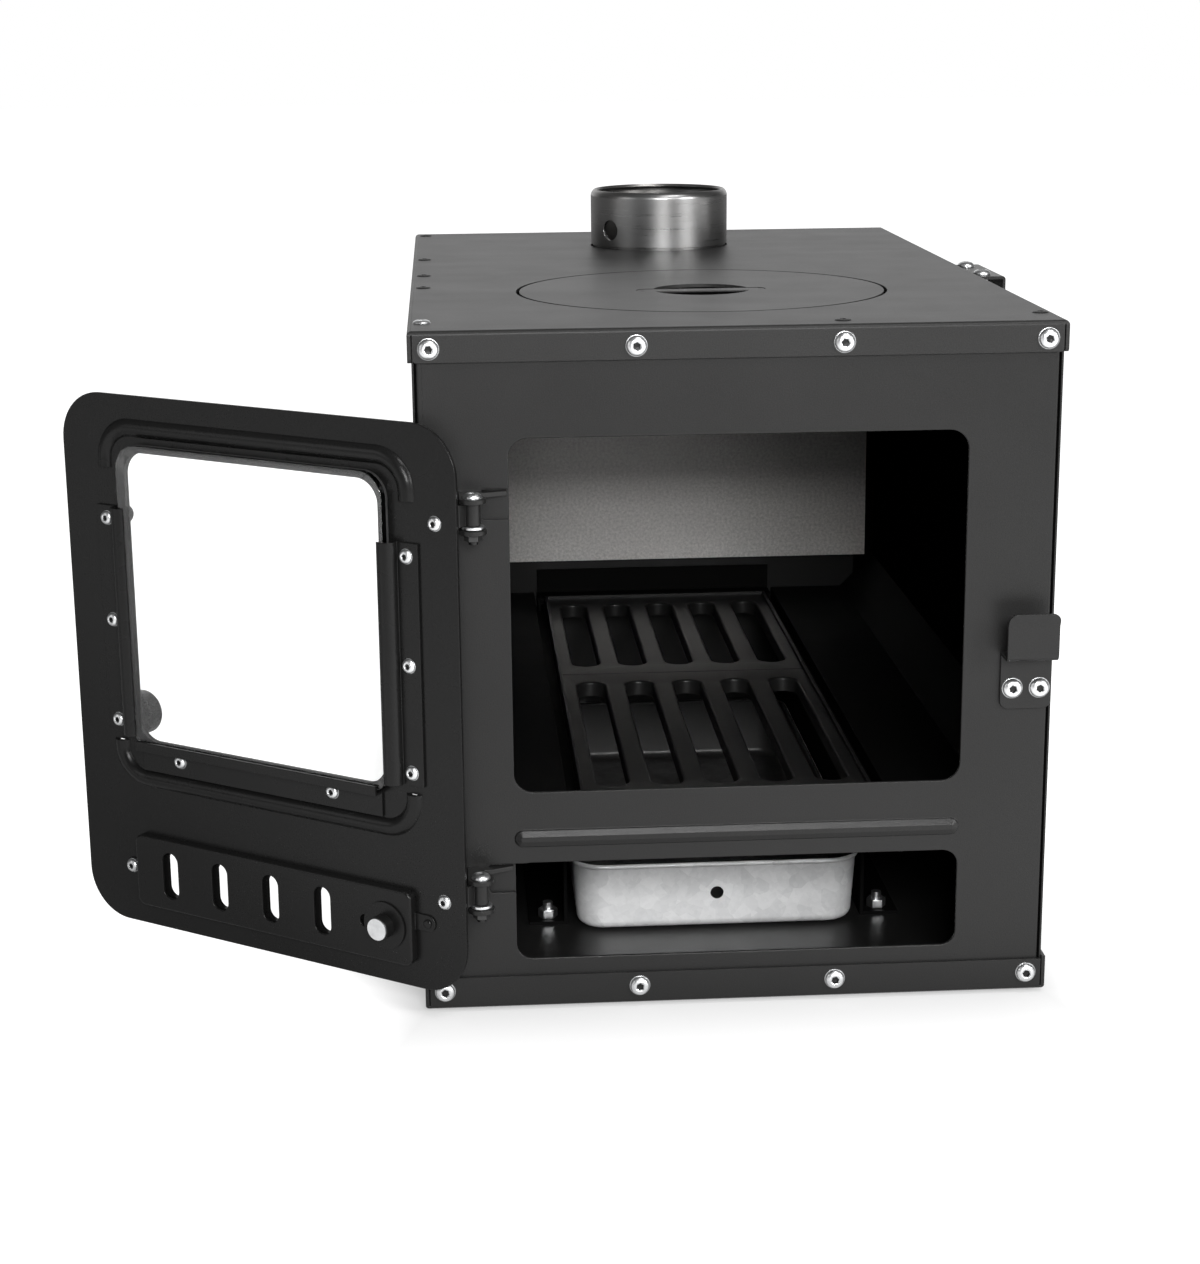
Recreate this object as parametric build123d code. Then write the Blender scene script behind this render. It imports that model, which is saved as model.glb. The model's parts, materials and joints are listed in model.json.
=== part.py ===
from build123d import *
from math import cos, radians, sin
import os

# Wood-burning box stove with a hob lid, a glazed door and an ash pan.
# Millimetres, +X to the right, +Y to the back, +Z up.
# The origin is on the floor, under the middle of the body.

# Body shell
BODY_WIDTH = 332.0
BODY_DEPTH = 528.0
BODY_HEIGHT = 362.0
SHEET = 2.0
CAP_SKIRT = 16.0
BASE_SKIRT = 17.5
PANEL_FLANGE = 14.0
BEND_RADIUS = 2.5
CORNER_SLIT = 0.5
SKIRT_CORNER = 2.0
SIDE_SKIRT_RISE = 1.5
PANEL_EDGE_RADIUS = 1.2
FOOT_HEIGHT = 2.0
FOOT_RADIUS = 9.0
FOOT_INSET = 19.0

# Openings in the front panel
FRONT_STILE = 49.0
FIREBOX_SILL_Z = 120.8
FIREBOX_HEAD_DROP = 54.8
FIREBOX_CORNER = 10.0
ASH_SILL_Z = 28.6
ASH_HEAD_Z = 82.1
ASH_CORNER = 8.0
RIB_Z = 95.6
RIB_HEIGHT = 9.0
RIB_PROUD = 2.2
RIB_SLOPE_DEPTH = 1.6
RIB_SLOPE_WIDTH = 3.2
RIB_CREST = 0.9

# Screws through the skirts
SKIRT_SCREW_INSET = 10.5
SKIRT_SCREW_SPACING = 104.4
CAP_SCREW_DROP = 9.0
BASE_SCREW_RISE = 10.0
M6_SHANK = 2.9
M6_HOLE = 3.2
M6_HEAD_RADIUS = 5.2
M6_HEAD_HEIGHT = 2.9
M6_NUT_RADIUS = 5.7
M6_NUT_HEIGHT = 5.0
M4_SHANK = 1.95
M4_HOLE = 2.15
M4_HEAD_RADIUS = 3.8
M4_HEAD_HEIGHT = 2.2
M4_NUT_RADIUS = 4.0
M4_NUT_HEIGHT = 3.2
TOP_HEAD_RADIUS = 4.4
TOP_HEAD_HEIGHT = 1.1
TOP_SCREW_INSET = 7.4
TOP_SCREW_STEPS = (32.5, 189.8, 253.1, 347.2, 511.9)
TOP_FRONT_SCREW_X = 53.5
TOP_FRONT_SCREW_STEP = 15.2
THREAD_END = 2.0
THREAD_FIT = 0.05

# Hob lid and flue collar
TOP_AXIS_X = -3.0
LID_FROM_FRONT = 161.0
LID_RADIUS = 102.0
LID_GAP = 1.8
LID_LEDGE = 11.0
LID_EYE_RADIUS = 27.0
LID_BAR_LENGTH = 72.0
LID_BAR_WIDTH = 11.0
LID_BAR_SINK = 0.2
LID_NOTCH_FLOOR = 0.9
LID_NOTCH_FIT = 0.4
COLLAR_FROM_FRONT = 427.6
COLLAR_RADIUS = 45.2
COLLAR_WALL = 2.0
COLLAR_STRAIGHT = 32.5
COLLAR_ROLL = 5.0
COLLAR_ROLL_ANGLE = 60.0
COLLAR_FLANGE = 9.0
COLLAR_CLEARANCE = 0.3
COLLAR_NECK = 1.2
DAMPER_HOLE_RADIUS = 6.4
DAMPER_HOLE_RISE = 12.0
DAMPER_HOLE_TURN = 50.0

# Fire bed
HEARTH_Z = 102.0
HEARTH_FOLD = 23.5
GRATE_THICKNESS = 3.0
GRATE_HALF_WIDTH = 77.4
GRATE_GAP = 0.3
FRONT_GRATE_START = 48.0
FRONT_GRATE_LENGTH = 247.7
REAR_GRATE_MARGIN = 27.8
SLOT_COUNT = 5
SLOT_PITCH = 30.4
SLOT_WIDTH = 18.0
SLOT_END_MARGIN = 19.0
SLOT_LIP = 2.0
SLOT_LIP_DEPTH = 9.0
SLOT_EDGE_RADIUS = 1.6
FRAME_RAIL_TOP = 104.0
FRAME_LEDGE_INNER = 72.2
GUIDE_RAIL_Z = 92.0

# Ash pan and its guides
PAN_HALF_WIDTH = 82.0
PAN_HEIGHT = 40.0
PAN_WALL = 1.0
PAN_CORNER = 18.0
PAN_BOTTOM_RADIUS = 6.0
PAN_TAPER = 4.0
PAN_SETBACK = 97.0
PAN_REAR_MARGIN = 101.0
PAN_LIFT_GAP = 0.3
PAN_HOLE_RADIUS = 3.75
PAN_HOLE_RISE = 21.5
GUIDE_CLEARANCE = 2.9
GUIDE_SETBACK = 112.0
GUIDE_REAR_MARGIN = 58.0
GUIDE_FOOT_WIDTH = 20.0
GUIDE_FOOT_BOLT = 9.0
HEARTH_SKIRT_DEPTH = 22.0

# Rear lining
LINING_HALF_WIDTH = 155.0
LINING_BOTTOM_Z = 126.3
LINING_TOP_DROP = 22.0
LINING_STANDOFF = 6.0
LINING_BOLT_X = 120.0
LINING_BOLT_Z = (240.0, 320.0)
SPACER_RADIUS = 6.0

# Door, closed and seen from the front; the hinge is at its left
DOOR_LAP_HINGE = 16.0
DOOR_LAP_LATCH = 9.0
DOOR_BOTTOM_Z = 17.0
DOOR_HEAD_LAP = 10.8
DOOR_STANDOFF = 4.0
DOOR_CORNER = 27.0
DOOR_OPEN_ANGLE = 214.9
WINDOW_SIDE_MARGIN = 45.5
WINDOW_TOP_MARGIN = 30.0
WINDOW_SILL_Z = 127.0
WINDOW_CORNER = 13.0
GLASS_LAP = 4.0
GLASS_SILL_LAP = 3.5
GLASS_CORNER = 14.0
GLASS_THICKNESS = 4.0
GASKET_THICKNESS = 1.5
BEAD_WIDTH = 9.5
BEAD_PROUD = 3.2
BEAD_SIDE_MARGIN = 30.0
BEAD_TOP_RISE = 12.5
BEAD_BOTTOM_DROP = 23.3
BEAD_LEG = 20.5
BEAD_CORNER = 18.0
STRIP_THICKNESS = 1.5
STRIP_OUTER_MARGIN = 23.0
STRIP_SCREW_MARGIN = 30.0
STRIP_LENGTH = 128.0
STRIP_START_RISE = 2.0
STRIP_SCREW_PITCH = 57.0
CHANNEL_WIDTH = 11.0
CHANNEL_HEIGHT = 8.0
BOTTOM_STRIP_SCREWS = (82.0, 186.0)
BOTTOM_STRIP_MARGIN = 50.0
BOTTOM_STRIP_DEPTH = 14.2
SEAT_GAP = 0.3

# Air regulator in the foot of the door
AIR_SLOT_START = 89.5
AIR_SLOT_PITCH = 35.2
AIR_SLOT_COUNT = 4
AIR_SLOT_WIDTH = 11.0
AIR_SLOT_HEIGHT = 27.0
AIR_Z = 50.5
AIR_COVER_START = 31.5
AIR_COVER_END = 220.0
AIR_COVER_HEIGHT = 41.5
AIR_COVER_PROUD = 5.0
AIR_COVER_WALL = 1.5
AIR_EAR_REACH = 5.8
AIR_EAR_RADIUS = 4.6
AIR_EAR_THICKNESS = 1.0
AIR_RIVET_REACH = 8.1
AIR_RIVET_RISE = 4.1
AIR_RIVET_RADIUS = 2.4
AIR_RIVET_HEIGHT = 1.2
AIR_TRAVEL = 13.0
AIR_REST_OFFSET = 1.7
AIR_SLIDER_THICKNESS = 1.2
AIR_SLIDER_GAP = 0.4
AIR_KNOB_U = 48.0
AIR_BUSH_RADIUS = 6.5
AIR_BUSH_FACE = 12.0
AIR_BUSH_FLANGE_RADIUS = 13.0
AIR_BUSH_FLANGE = 0.8
AIR_SPINDLE_RADIUS = 3.0
AIR_OUTER_KNOB_RADIUS = 9.0
AIR_OUTER_KNOB_LENGTH = 12.0

# Door hinges: the pin stands ahead of the door's edge
HINGE_Z = (72.5, 272.5)
PIN_EDGE_GAP = 2.5
PIN_FROM_INNER_FACE = 11.0
PIN_RADIUS = 2.5
PIN_RUNNING_CLEARANCE = 0.05
PIN_FIXED_CLEARANCE = 0.15
BARREL_RADIUS = 4.0
BARREL_LENGTH = 11.0
EAR_RADIUS = 6.9
EAR_THICKNESS = 2.5
EAR_GAP = 0.3
WASHER_THICKNESS = 1.5
WASHER_RADIUS = 5.6
LEAF_LENGTH = 24.0
LEAF_SCREW_U = 13.0
LEAF_SCREW_DROP = 4.3
NOTCH_WIDTH = 14.0
NOTCH_BELOW = 6.5
NOTCH_ABOVE = 9.3
BACK_PLATE_HEIGHT = 40.0

# Latch: an arm on the door that drops into a hook on the body
CATCH_FROM_DOOR = 10.5
CATCH_WIDTH = 27.0
CATCH_BOTTOM_Z = 159.5
CATCH_SHELF_Z = 190.4
CATCH_PLATE_TOP_Z = 207.0
CATCH_LIP_TOP_Z = 214.3
CATCH_DEPTH = 14.0
CATCH_LIP_FLARE = 3.0
CATCH_BEND = 3.5
CATCH_CORNER = 4.5
CATCH_SCREW_Z = 170.9
CATCH_SCREW_PITCH = 14.2
LATCH_U_MARGIN = 17.5
LATCH_Z = 198.0
LATCH_ARM = 68.0
LATCH_ARM_WIDTH = 13.0
LATCH_ARM_THICKNESS = 3.0
LATCH_SPACER = 2.0
LATCH_SIDE_GAP = 0.2
LATCH_STUD_RADIUS = 3.0
LATCH_STUD_CLEARANCE = 0.06
LATCH_KNOB_RADIUS = 12.5
LATCH_KNOB_THICKNESS = 11.0
LATCH_KNOB_STANDOFF = 19.0
LATCH_SLEEVE_RADIUS = 4.0
LATCH_STOP_U_MARGIN = 21.0
LATCH_STOP_Z = 247.0
LATCH_STOP_POST = 20.0
LATCH_STOP_CAP = 6.0
LATCH_STOP_RADIUS = 5.5

# Hanger bracket on the right side
HANGER_FROM_FRONT = 246.0
HANGER_LENGTH = 70.0
HANGER_REACH = 24.0
HANGER_TOP_DROP = 5.0
HANGER_LIP = 19.0
HANGER_JOG = 2.0
HANGER_FOOT = 28.0
HANGER_BOLT_INSET = 12.0

# Places worked out from the sizes above
FRONT_Y = -BODY_DEPTH / 2
BACK_Y = BODY_DEPTH / 2
HALF_WIDTH = BODY_WIDTH / 2
TRAY_TOP = FOOT_HEIGHT + SHEET
TOP_UNDER = BODY_HEIGHT - SHEET
PANEL_Y = FRONT_Y + SHEET
SIDE_INNER_X = HALF_WIDTH - 2 * SHEET
OPENING_HALF_WIDTH = HALF_WIDTH - FRONT_STILE
FIREBOX_HEAD_Z = BODY_HEIGHT - FIREBOX_HEAD_DROP
LID_Y = FRONT_Y + LID_FROM_FRONT
COLLAR_Y = FRONT_Y + COLLAR_FROM_FRONT
DOOR_X = -OPENING_HALF_WIDTH - DOOR_LAP_HINGE
DOOR_WIDTH = 2 * OPENING_HALF_WIDTH + DOOR_LAP_HINGE + DOOR_LAP_LATCH
DOOR_TOP_Z = FIREBOX_HEAD_Z + DOOR_HEAD_LAP
DOOR_Y = FRONT_Y - DOOR_STANDOFF
PIN_X = DOOR_X - PIN_EDGE_GAP
PIN_Y = DOOR_Y - PIN_FROM_INNER_FACE
WINDOW_END = DOOR_WIDTH - WINDOW_SIDE_MARGIN
WINDOW_TOP_Z = DOOR_TOP_Z - WINDOW_TOP_MARGIN
GRATE_TOP_Z = HEARTH_Z
LEDGE_Z = GRATE_TOP_Z - GRATE_THICKNESS
FRAME_INNER_X = GRATE_HALF_WIDTH + GRATE_GAP
FRAME_OUTER_X = FRAME_INNER_X + SHEET
FRONT_GRATE_Y = FRONT_Y + FRONT_GRATE_START
GRATE_JOINT_Y = FRONT_GRATE_Y + FRONT_GRATE_LENGTH
REAR_GRATE_Y = GRATE_JOINT_Y + 2 * GRATE_GAP
REAR_GRATE_END = BACK_Y - REAR_GRATE_MARGIN
FRAME_START_Y = FRONT_GRATE_Y - GRATE_GAP - SHEET
FRAME_END_Y = REAR_GRATE_END + GRATE_GAP + SHEET
GUIDE_INNER_X = PAN_HALF_WIDTH + GUIDE_CLEARANCE
GUIDE_OUTER_X = GUIDE_INNER_X + SHEET
CATCH_X = DOOR_X + DOOR_WIDTH + CATCH_FROM_DOOR
LATCH_U = DOOR_WIDTH - LATCH_U_MARGIN

pieces = {}


def block(x0, x1, y0, y1, z0, z1):
    """A box given by its low and high faces."""
    size = Box(x1 - x0, y1 - y0, z1 - z0)
    return Pos((x0 + x1) / 2, (y0 + y1) / 2, (z0 + z1) / 2) * size


def rod_z(radius, x, y, z0, z1):
    return Pos(x, y, (z0 + z1) / 2) * Cylinder(radius, z1 - z0)


def rod_y(radius, x, z, y0, y1):
    return Pos(x, (y0 + y1) / 2, z) * Rot(90, 0, 0) * Cylinder(radius, y1 - y0)


def rod_x(radius, y, z, x0, x1):
    return Pos((x0 + x1) / 2, y, z) * Rot(0, 90, 0) * Cylinder(radius, x1 - x0)


def plate_y(face, y0, y1):
    """An outline drawn in X and Z, made solid from y0 to y1."""
    upright = Plane(origin=(0, y0, 0), x_dir=(1, 0, 0), z_dir=(0, -1, 0))
    return extrude(upright * face, amount=-(y1 - y0))


def rounded_window(x0, x1, z0, z1, radius):
    return Pos((x0 + x1) / 2, (z0 + z1) / 2) * RectangleRounded(x1 - x0, z1 - z0, radius)


def screw(head_radius, head_height, shank, length):
    """A button-head screw, its head on +Z above the origin, its shank below."""
    head = Pos(0, 0, head_height / 2) * Cylinder(head_radius, head_height)
    head = fillet(head.edges().group_by(Axis.Z)[-1], head_height * 0.75)
    socket = extrude(RegularPolygon(head_radius * 0.42, 6), amount=head_height)
    head -= Pos(0, 0, head_height * 0.35) * socket
    return head + Pos(0, 0, -length / 2) * Cylinder(shank, length)


def nut(radius, height, hole):
    """A hexagon nut standing on the origin."""
    body = extrude(RegularPolygon(radius, 6), amount=height)
    return body - Pos(0, 0, height / 2) * Cylinder(hole, height)


def m6_screw(length):
    return screw(M6_HEAD_RADIUS, M6_HEAD_HEIGHT, M6_SHANK, length)


def m4_screw(length):
    return screw(M4_HEAD_RADIUS, M4_HEAD_HEIGHT, M4_SHANK, length)


M6_NUT = nut(M6_NUT_RADIUS, M6_NUT_HEIGHT, M6_SHANK + 0.05)
M4_NUT = nut(M4_NUT_RADIUS, M4_NUT_HEIGHT, M4_SHANK + 0.05)


def corner_slits(z0, z1):
    """The narrow gaps at the four corners, between a side skirt and an end skirt."""
    outer = HALF_WIDTH - SHEET
    return [
        block(
            *sorted((sx * outer, sx * (outer - CORNER_SLIT))),
            *sorted((sy * BACK_Y, sy * (BACK_Y - SHEET))), z0, z1,
        )
        for sx in (-1, 1)
        for sy in (-1, 1)
    ]


def base_tray():
    """The floor sheet: its side skirts stand a little above its front and rear ones."""
    rim = FOOT_HEIGHT + BASE_SKIRT
    tray = block(-HALF_WIDTH, HALF_WIDTH, FRONT_Y, BACK_Y, FOOT_HEIGHT, rim + SIDE_SKIRT_RISE)
    tray = fillet(tray.edges().group_by(Axis.Z)[0], BEND_RADIUS)
    tray -= block(
        -HALF_WIDTH + SHEET, HALF_WIDTH - SHEET, FRONT_Y + SHEET, BACK_Y - SHEET,
        TRAY_TOP, BODY_HEIGHT,
    )
    inner = HALF_WIDTH - SHEET
    tray -= block(-inner, inner, FRONT_Y, BACK_Y, rim, rim + SIDE_SKIRT_RISE)
    tray -= corner_slits(TRAY_TOP, rim + SIDE_SKIRT_RISE)
    for x, y, z in skirt_screw_places():
        if z < BODY_HEIGHT / 2:
            tray -= rod_y(M6_HOLE, x, z, y - 2 * SHEET, y + 2 * SHEET)
    for x, y in guide_bolt_places():
        tray -= rod_z(M6_HOLE, x, y, 0, TRAY_TOP + SHEET)
    return tray


def foot_pads():
    return [
        rod_z(FOOT_RADIUS, sx * (HALF_WIDTH - FOOT_INSET), sy * (BACK_Y - FOOT_INSET), 0, FOOT_HEIGHT)
        for sx in (-1, 1)
        for sy in (-1, 1)
    ]


def top_cap():
    low = BODY_HEIGHT - CAP_SKIRT
    cap = block(-HALF_WIDTH, HALF_WIDTH, FRONT_Y, BACK_Y, low, BODY_HEIGHT)
    cap = fillet(cap.edges().group_by(Axis.Z)[-1], BEND_RADIUS)
    cap -= block(
        -HALF_WIDTH + SHEET, HALF_WIDTH - SHEET, FRONT_Y + SHEET, BACK_Y - SHEET, 0, TOP_UNDER
    )
    cap -= corner_slits(low, TOP_UNDER)
    corners = [e for e in cap.edges().group_by(Axis.Z)[0] if e.length < SHEET + 0.01]
    cap = fillet(corners, SKIRT_CORNER)
    cap -= rod_z(LID_RADIUS + LID_GAP, TOP_AXIS_X, LID_Y, TOP_UNDER, BODY_HEIGHT)
    cap -= rod_z(COLLAR_RADIUS + COLLAR_CLEARANCE, TOP_AXIS_X, COLLAR_Y, TOP_UNDER, BODY_HEIGHT)
    for x, y, z in skirt_screw_places():
        if z > BODY_HEIGHT / 2:
            cap -= rod_y(M6_HOLE, x, z, y - 2 * SHEET, y + 2 * SHEET)
    for x, y in top_screw_places():
        cap -= rod_z(M4_SHANK + THREAD_FIT, x, y, TOP_UNDER, BODY_HEIGHT)
        seat = BODY_HEIGHT - TOP_HEAD_HEIGHT
        cap -= rod_z(TOP_HEAD_RADIUS + THREAD_FIT, x, y, seat, BODY_HEIGHT)
    return cap


def top_screw_places():
    """X and Y of the flush screws let into the top: a row by its left edge and two more."""
    edge = HALF_WIDTH - TOP_SCREW_INSET
    row = [(-edge, FRONT_Y + step) for step in TOP_SCREW_STEPS]
    front = (TOP_FRONT_SCREW_X, FRONT_Y + TOP_FRONT_SCREW_STEP)
    return row + [front, (edge, FRONT_Y + TOP_SCREW_STEPS[0])]


def top_screws():
    seat = BODY_HEIGHT - TOP_HEAD_HEIGHT
    flush_head = screw(TOP_HEAD_RADIUS, TOP_HEAD_HEIGHT, M4_SHANK, SHEET - TOP_HEAD_HEIGHT)
    return [Pos(x, y, seat) * flush_head for x, y in top_screw_places()]


def side_panel(side):
    """A side sheet with a flange folded in behind the front and rear panels."""
    inner = SIDE_INNER_X
    panel = block(inner, inner + SHEET, PANEL_Y, -PANEL_Y, TRAY_TOP, TOP_UNDER)
    for end in (-1, 1):
        y0, y1 = sorted((end * (BACK_Y - 2 * SHEET), end * (BACK_Y - 3 * SHEET)))
        panel += block(inner - PANEL_FLANGE, inner, y0, y1, TRAY_TOP, TOP_UNDER)
    for x, y, z in skirt_screw_places():
        if x > SIDE_INNER_X - PANEL_FLANGE:
            panel -= rod_y(M6_HOLE, x, z, y - 4 * SHEET, y + 4 * SHEET)
    if side > 0:
        for y, z in hanger_screw_places():
            panel -= rod_x(M6_SHANK + THREAD_FIT, y, z, inner - SHEET, HALF_WIDTH)
        for x in catch_screw_columns():
            panel -= rod_y(M6_SHANK + THREAD_FIT, x, CATCH_SCREW_Z, PANEL_Y, PANEL_Y + 3 * SHEET)
        return panel
    return mirror(panel, Plane.YZ)


def skirt_screw_places():
    """X, Y at the skirt's outer face, and Z of each screw in the four end skirts."""
    outer = HALF_WIDTH - SKIRT_SCREW_INSET
    columns = (-outer, -SKIRT_SCREW_SPACING / 2, SKIRT_SCREW_SPACING / 2, outer)
    rows = (FOOT_HEIGHT + BASE_SCREW_RISE, BODY_HEIGHT - CAP_SCREW_DROP)
    return [(x, y, z) for y in (FRONT_Y, BACK_Y) for z in rows for x in columns]


def skirt_stack(x):
    """How many sheets a skirt screw passes: the outer ones also take the side flange."""
    return 3 if abs(x) > SIDE_INNER_X - PANEL_FLANGE else 2


def skirt_screws():
    screws = []
    for x, y, z in skirt_screw_places():
        length = skirt_stack(x) * SHEET + M6_NUT_HEIGHT + THREAD_END
        turn = 90 if y < 0 else -90
        screws.append(Pos(x, y, z) * Rot(turn, 0, 0) * m6_screw(length))
    return screws


def skirt_nuts():
    nuts = []
    for x, y, z in skirt_screw_places():
        inward = 1 if y < 0 else -1
        turn = -90 if y < 0 else 90
        nuts.append(Pos(x, y + inward * skirt_stack(x) * SHEET, z) * Rot(turn, 0, 0) * M6_NUT)
    return nuts


def front_panel():
    z0, z1 = TRAY_TOP, TOP_UNDER
    face = Pos(0, (z0 + z1) / 2) * Rectangle(2 * SIDE_INNER_X, z1 - z0)
    w = OPENING_HALF_WIDTH
    face -= rounded_window(-w, w, FIREBOX_SILL_Z, FIREBOX_HEAD_Z, FIREBOX_CORNER)
    face -= rounded_window(-w, w, ASH_SILL_Z, ASH_HEAD_Z, ASH_CORNER)
    for z in HINGE_Z:
        low, high = z - NOTCH_BELOW, z + NOTCH_ABOVE
        face -= rounded_window(-w - NOTCH_WIDTH, -w + FIREBOX_CORNER, low, high, 2)
    panel = plate_y(face, PANEL_Y, PANEL_Y + SHEET)
    uprights = panel.edges().filter_by(Axis.Z).filter_by(lambda e: e.length > z1 - z0 - SHEET)
    panel = fillet(uprights.group_by(Axis.Y)[0], PANEL_EDGE_RADIUS)
    rib = plate_y(Pos(0, RIB_Z) * SlotOverall(2 * w, RIB_HEIGHT), PANEL_Y - RIB_PROUD, PANEL_Y)
    rib = chamfer(rib.edges().group_by(Axis.Y)[0], RIB_SLOPE_DEPTH, RIB_SLOPE_WIDTH)
    rib = fillet(rib.edges().group_by(Axis.Y)[0], RIB_CREST)
    groove = Pos(0, RIB_Z) * SlotOverall(2 * w - 2 * SHEET, RIB_HEIGHT - 2 * SHEET)
    panel += rib
    panel -= plate_y(groove, PANEL_Y, PANEL_Y + SHEET)
    for x, y, z in skirt_screw_places():
        if y < 0:
            panel -= rod_y(M6_HOLE, x, z, y, y + 3 * SHEET)
    for x in catch_screw_columns():
        panel -= rod_y(M6_SHANK + THREAD_FIT, x, CATCH_SCREW_Z, FRONT_Y, PANEL_Y + SHEET)
    return panel


def rear_panel():
    y0 = BACK_Y - 2 * SHEET
    panel = block(-SIDE_INNER_X, SIDE_INNER_X, y0, y0 + SHEET, TRAY_TOP, TOP_UNDER)
    for x, y, z in skirt_screw_places():
        if y > 0:
            panel -= rod_y(M6_HOLE, x, z, y - 3 * SHEET, y)
    for x, z in lining_bolt_places():
        panel -= rod_y(M6_HOLE, x, z, y0, BACK_Y)
    return panel


def lining_bolt_places():
    return [(x, z) for x in (-LINING_BOLT_X, LINING_BOLT_X) for z in LINING_BOLT_Z]


def rear_lining():
    """The heat shield that hangs in front of the rear panel."""
    y1 = BACK_Y - 2 * SHEET - LINING_STANDOFF
    top = BODY_HEIGHT - LINING_TOP_DROP
    sheet = block(-LINING_HALF_WIDTH, LINING_HALF_WIDTH, y1 - SHEET, y1, LINING_BOTTOM_Z, top)
    for x, z in lining_bolt_places():
        sheet -= rod_y(M6_HOLE, x, z, y1 - SHEET, y1)
    return sheet


def lining_spacers():
    y1 = BACK_Y - 2 * SHEET
    return [
        rod_y(SPACER_RADIUS, x, z, y1 - LINING_STANDOFF, y1)
        - rod_y(M6_HOLE, x, z, y1 - LINING_STANDOFF, y1)
        for x, z in lining_bolt_places()
    ]


def lining_bolts():
    y = BACK_Y - 3 * SHEET - LINING_STANDOFF
    length = LINING_STANDOFF + 2 * SHEET + M6_NUT_HEIGHT + THREAD_END
    return [Pos(x, y, z) * Rot(90, 0, 0) * m6_screw(length) for x, z in lining_bolt_places()]


def lining_nuts():
    return [Pos(x, BACK_Y - SHEET, z) * Rot(-90, 0, 0) * M6_NUT for x, z in lining_bolt_places()]


def lid_ring():
    """The ledge welded under the top, which the lid rests on."""
    outer = LID_RADIUS + LID_GAP + LID_LEDGE
    ring = rod_z(outer, TOP_AXIS_X, LID_Y, TOP_UNDER - SHEET, TOP_UNDER)
    return ring - rod_z(LID_RADIUS - LID_LEDGE, TOP_AXIS_X, LID_Y, TOP_UNDER - SHEET, TOP_UNDER)


def hob_lid():
    """The lid: a round eye, and notches in the face that the bar's ends lie in."""
    lid = rod_z(LID_RADIUS, TOP_AXIS_X, LID_Y, TOP_UNDER, BODY_HEIGHT)
    eye = Pos(TOP_AXIS_X, LID_Y) * Circle(LID_EYE_RADIUS)
    lid -= extrude(Plane.XY.offset(TOP_UNDER) * eye, amount=SHEET)
    notch = Pos(TOP_AXIS_X, LID_Y) * SlotOverall(
        LID_BAR_LENGTH + 2 * LID_NOTCH_FIT, LID_BAR_WIDTH + 2 * LID_NOTCH_FIT
    )
    return lid - extrude(Plane.XY.offset(TOP_UNDER + LID_NOTCH_FLOOR) * notch, amount=SHEET)


def lid_bar():
    """The flat bar across the lid's eye, which a lifting hook takes."""
    outline = Pos(TOP_AXIS_X, LID_Y) * SlotOverall(LID_BAR_LENGTH, LID_BAR_WIDTH)
    thickness = SHEET - LID_NOTCH_FLOOR - LID_BAR_SINK
    bar = extrude(Plane.XY.offset(TOP_UNDER + LID_NOTCH_FLOOR) * outline, amount=thickness)
    return fillet(bar.edges().group_by(Axis.Z)[-1], 0.3)


def flue_collar():
    outer, wall = COLLAR_RADIUS, COLLAR_WALL
    z0 = TOP_UNDER - wall
    z1 = BODY_HEIGHT + COLLAR_STRAIGHT
    neck, neck_top = outer - COLLAR_NECK, BODY_HEIGHT + COLLAR_NECK
    turn = radians(COLLAR_ROLL_ANGLE)
    half = turn / 2
    middle = outer - COLLAR_ROLL

    def on_roll(radius, angle):
        return (middle + radius * cos(angle), z1 + radius * sin(angle))

    inner_roll = COLLAR_ROLL - wall
    profile = [
        Line((outer - wall, z0), (outer + COLLAR_FLANGE, z0)),
        Line((outer + COLLAR_FLANGE, z0), (outer + COLLAR_FLANGE, TOP_UNDER)),
        Line((outer + COLLAR_FLANGE, TOP_UNDER), (neck, TOP_UNDER)),
        Line((neck, TOP_UNDER), (neck, neck_top)),
        Line((neck, neck_top), (outer, neck_top)),
        Line((outer, neck_top), (outer, z1)),
        ThreePointArc(on_roll(COLLAR_ROLL, 0), on_roll(COLLAR_ROLL, half), on_roll(COLLAR_ROLL, turn)),
        Line(on_roll(COLLAR_ROLL, turn), on_roll(inner_roll, turn)),
        ThreePointArc(on_roll(inner_roll, turn), on_roll(inner_roll, half), on_roll(inner_roll, 0)),
        Line((outer - wall, z1), (outer - wall, z0)),
    ]
    collar = revolve(Plane.XZ * make_face(Curve() + profile), Axis.Z)
    reach = Rot(0, 0, -DAMPER_HOLE_TURN) * rod_y(
        DAMPER_HOLE_RADIUS, 0, BODY_HEIGHT + DAMPER_HOLE_RISE, -outer - 1, 0
    )
    return Pos(TOP_AXIS_X, COLLAR_Y, 0) * (collar - reach)


def hearth_side(side):
    """The plate from the fire bed to a side wall, its outer edge turned up."""
    x0, x2 = GUIDE_OUTER_X, SIDE_INNER_X - SEAT_GAP
    x1 = x2 - HEARTH_FOLD
    top, under = HEARTH_Z, HEARTH_Z - SHEET
    run = SHEET * 0.414
    outline = Polyline(
        (x0, top), (x1, top), (x2, top + HEARTH_FOLD), (x2, top + HEARTH_FOLD - SHEET * 1.414),
        (x1 + run, under), (x0 + SHEET, under), (x0 + SHEET, top - HEARTH_SKIRT_DEPTH),
        (x0, top - HEARTH_SKIRT_DEPTH), close=True,
    )
    inset = 3 * SHEET + SEAT_GAP
    plate = plate_y(make_face(outline), FRONT_Y + inset, BACK_Y - inset)
    return plate if side > 0 else mirror(plate, Plane.YZ)


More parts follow.
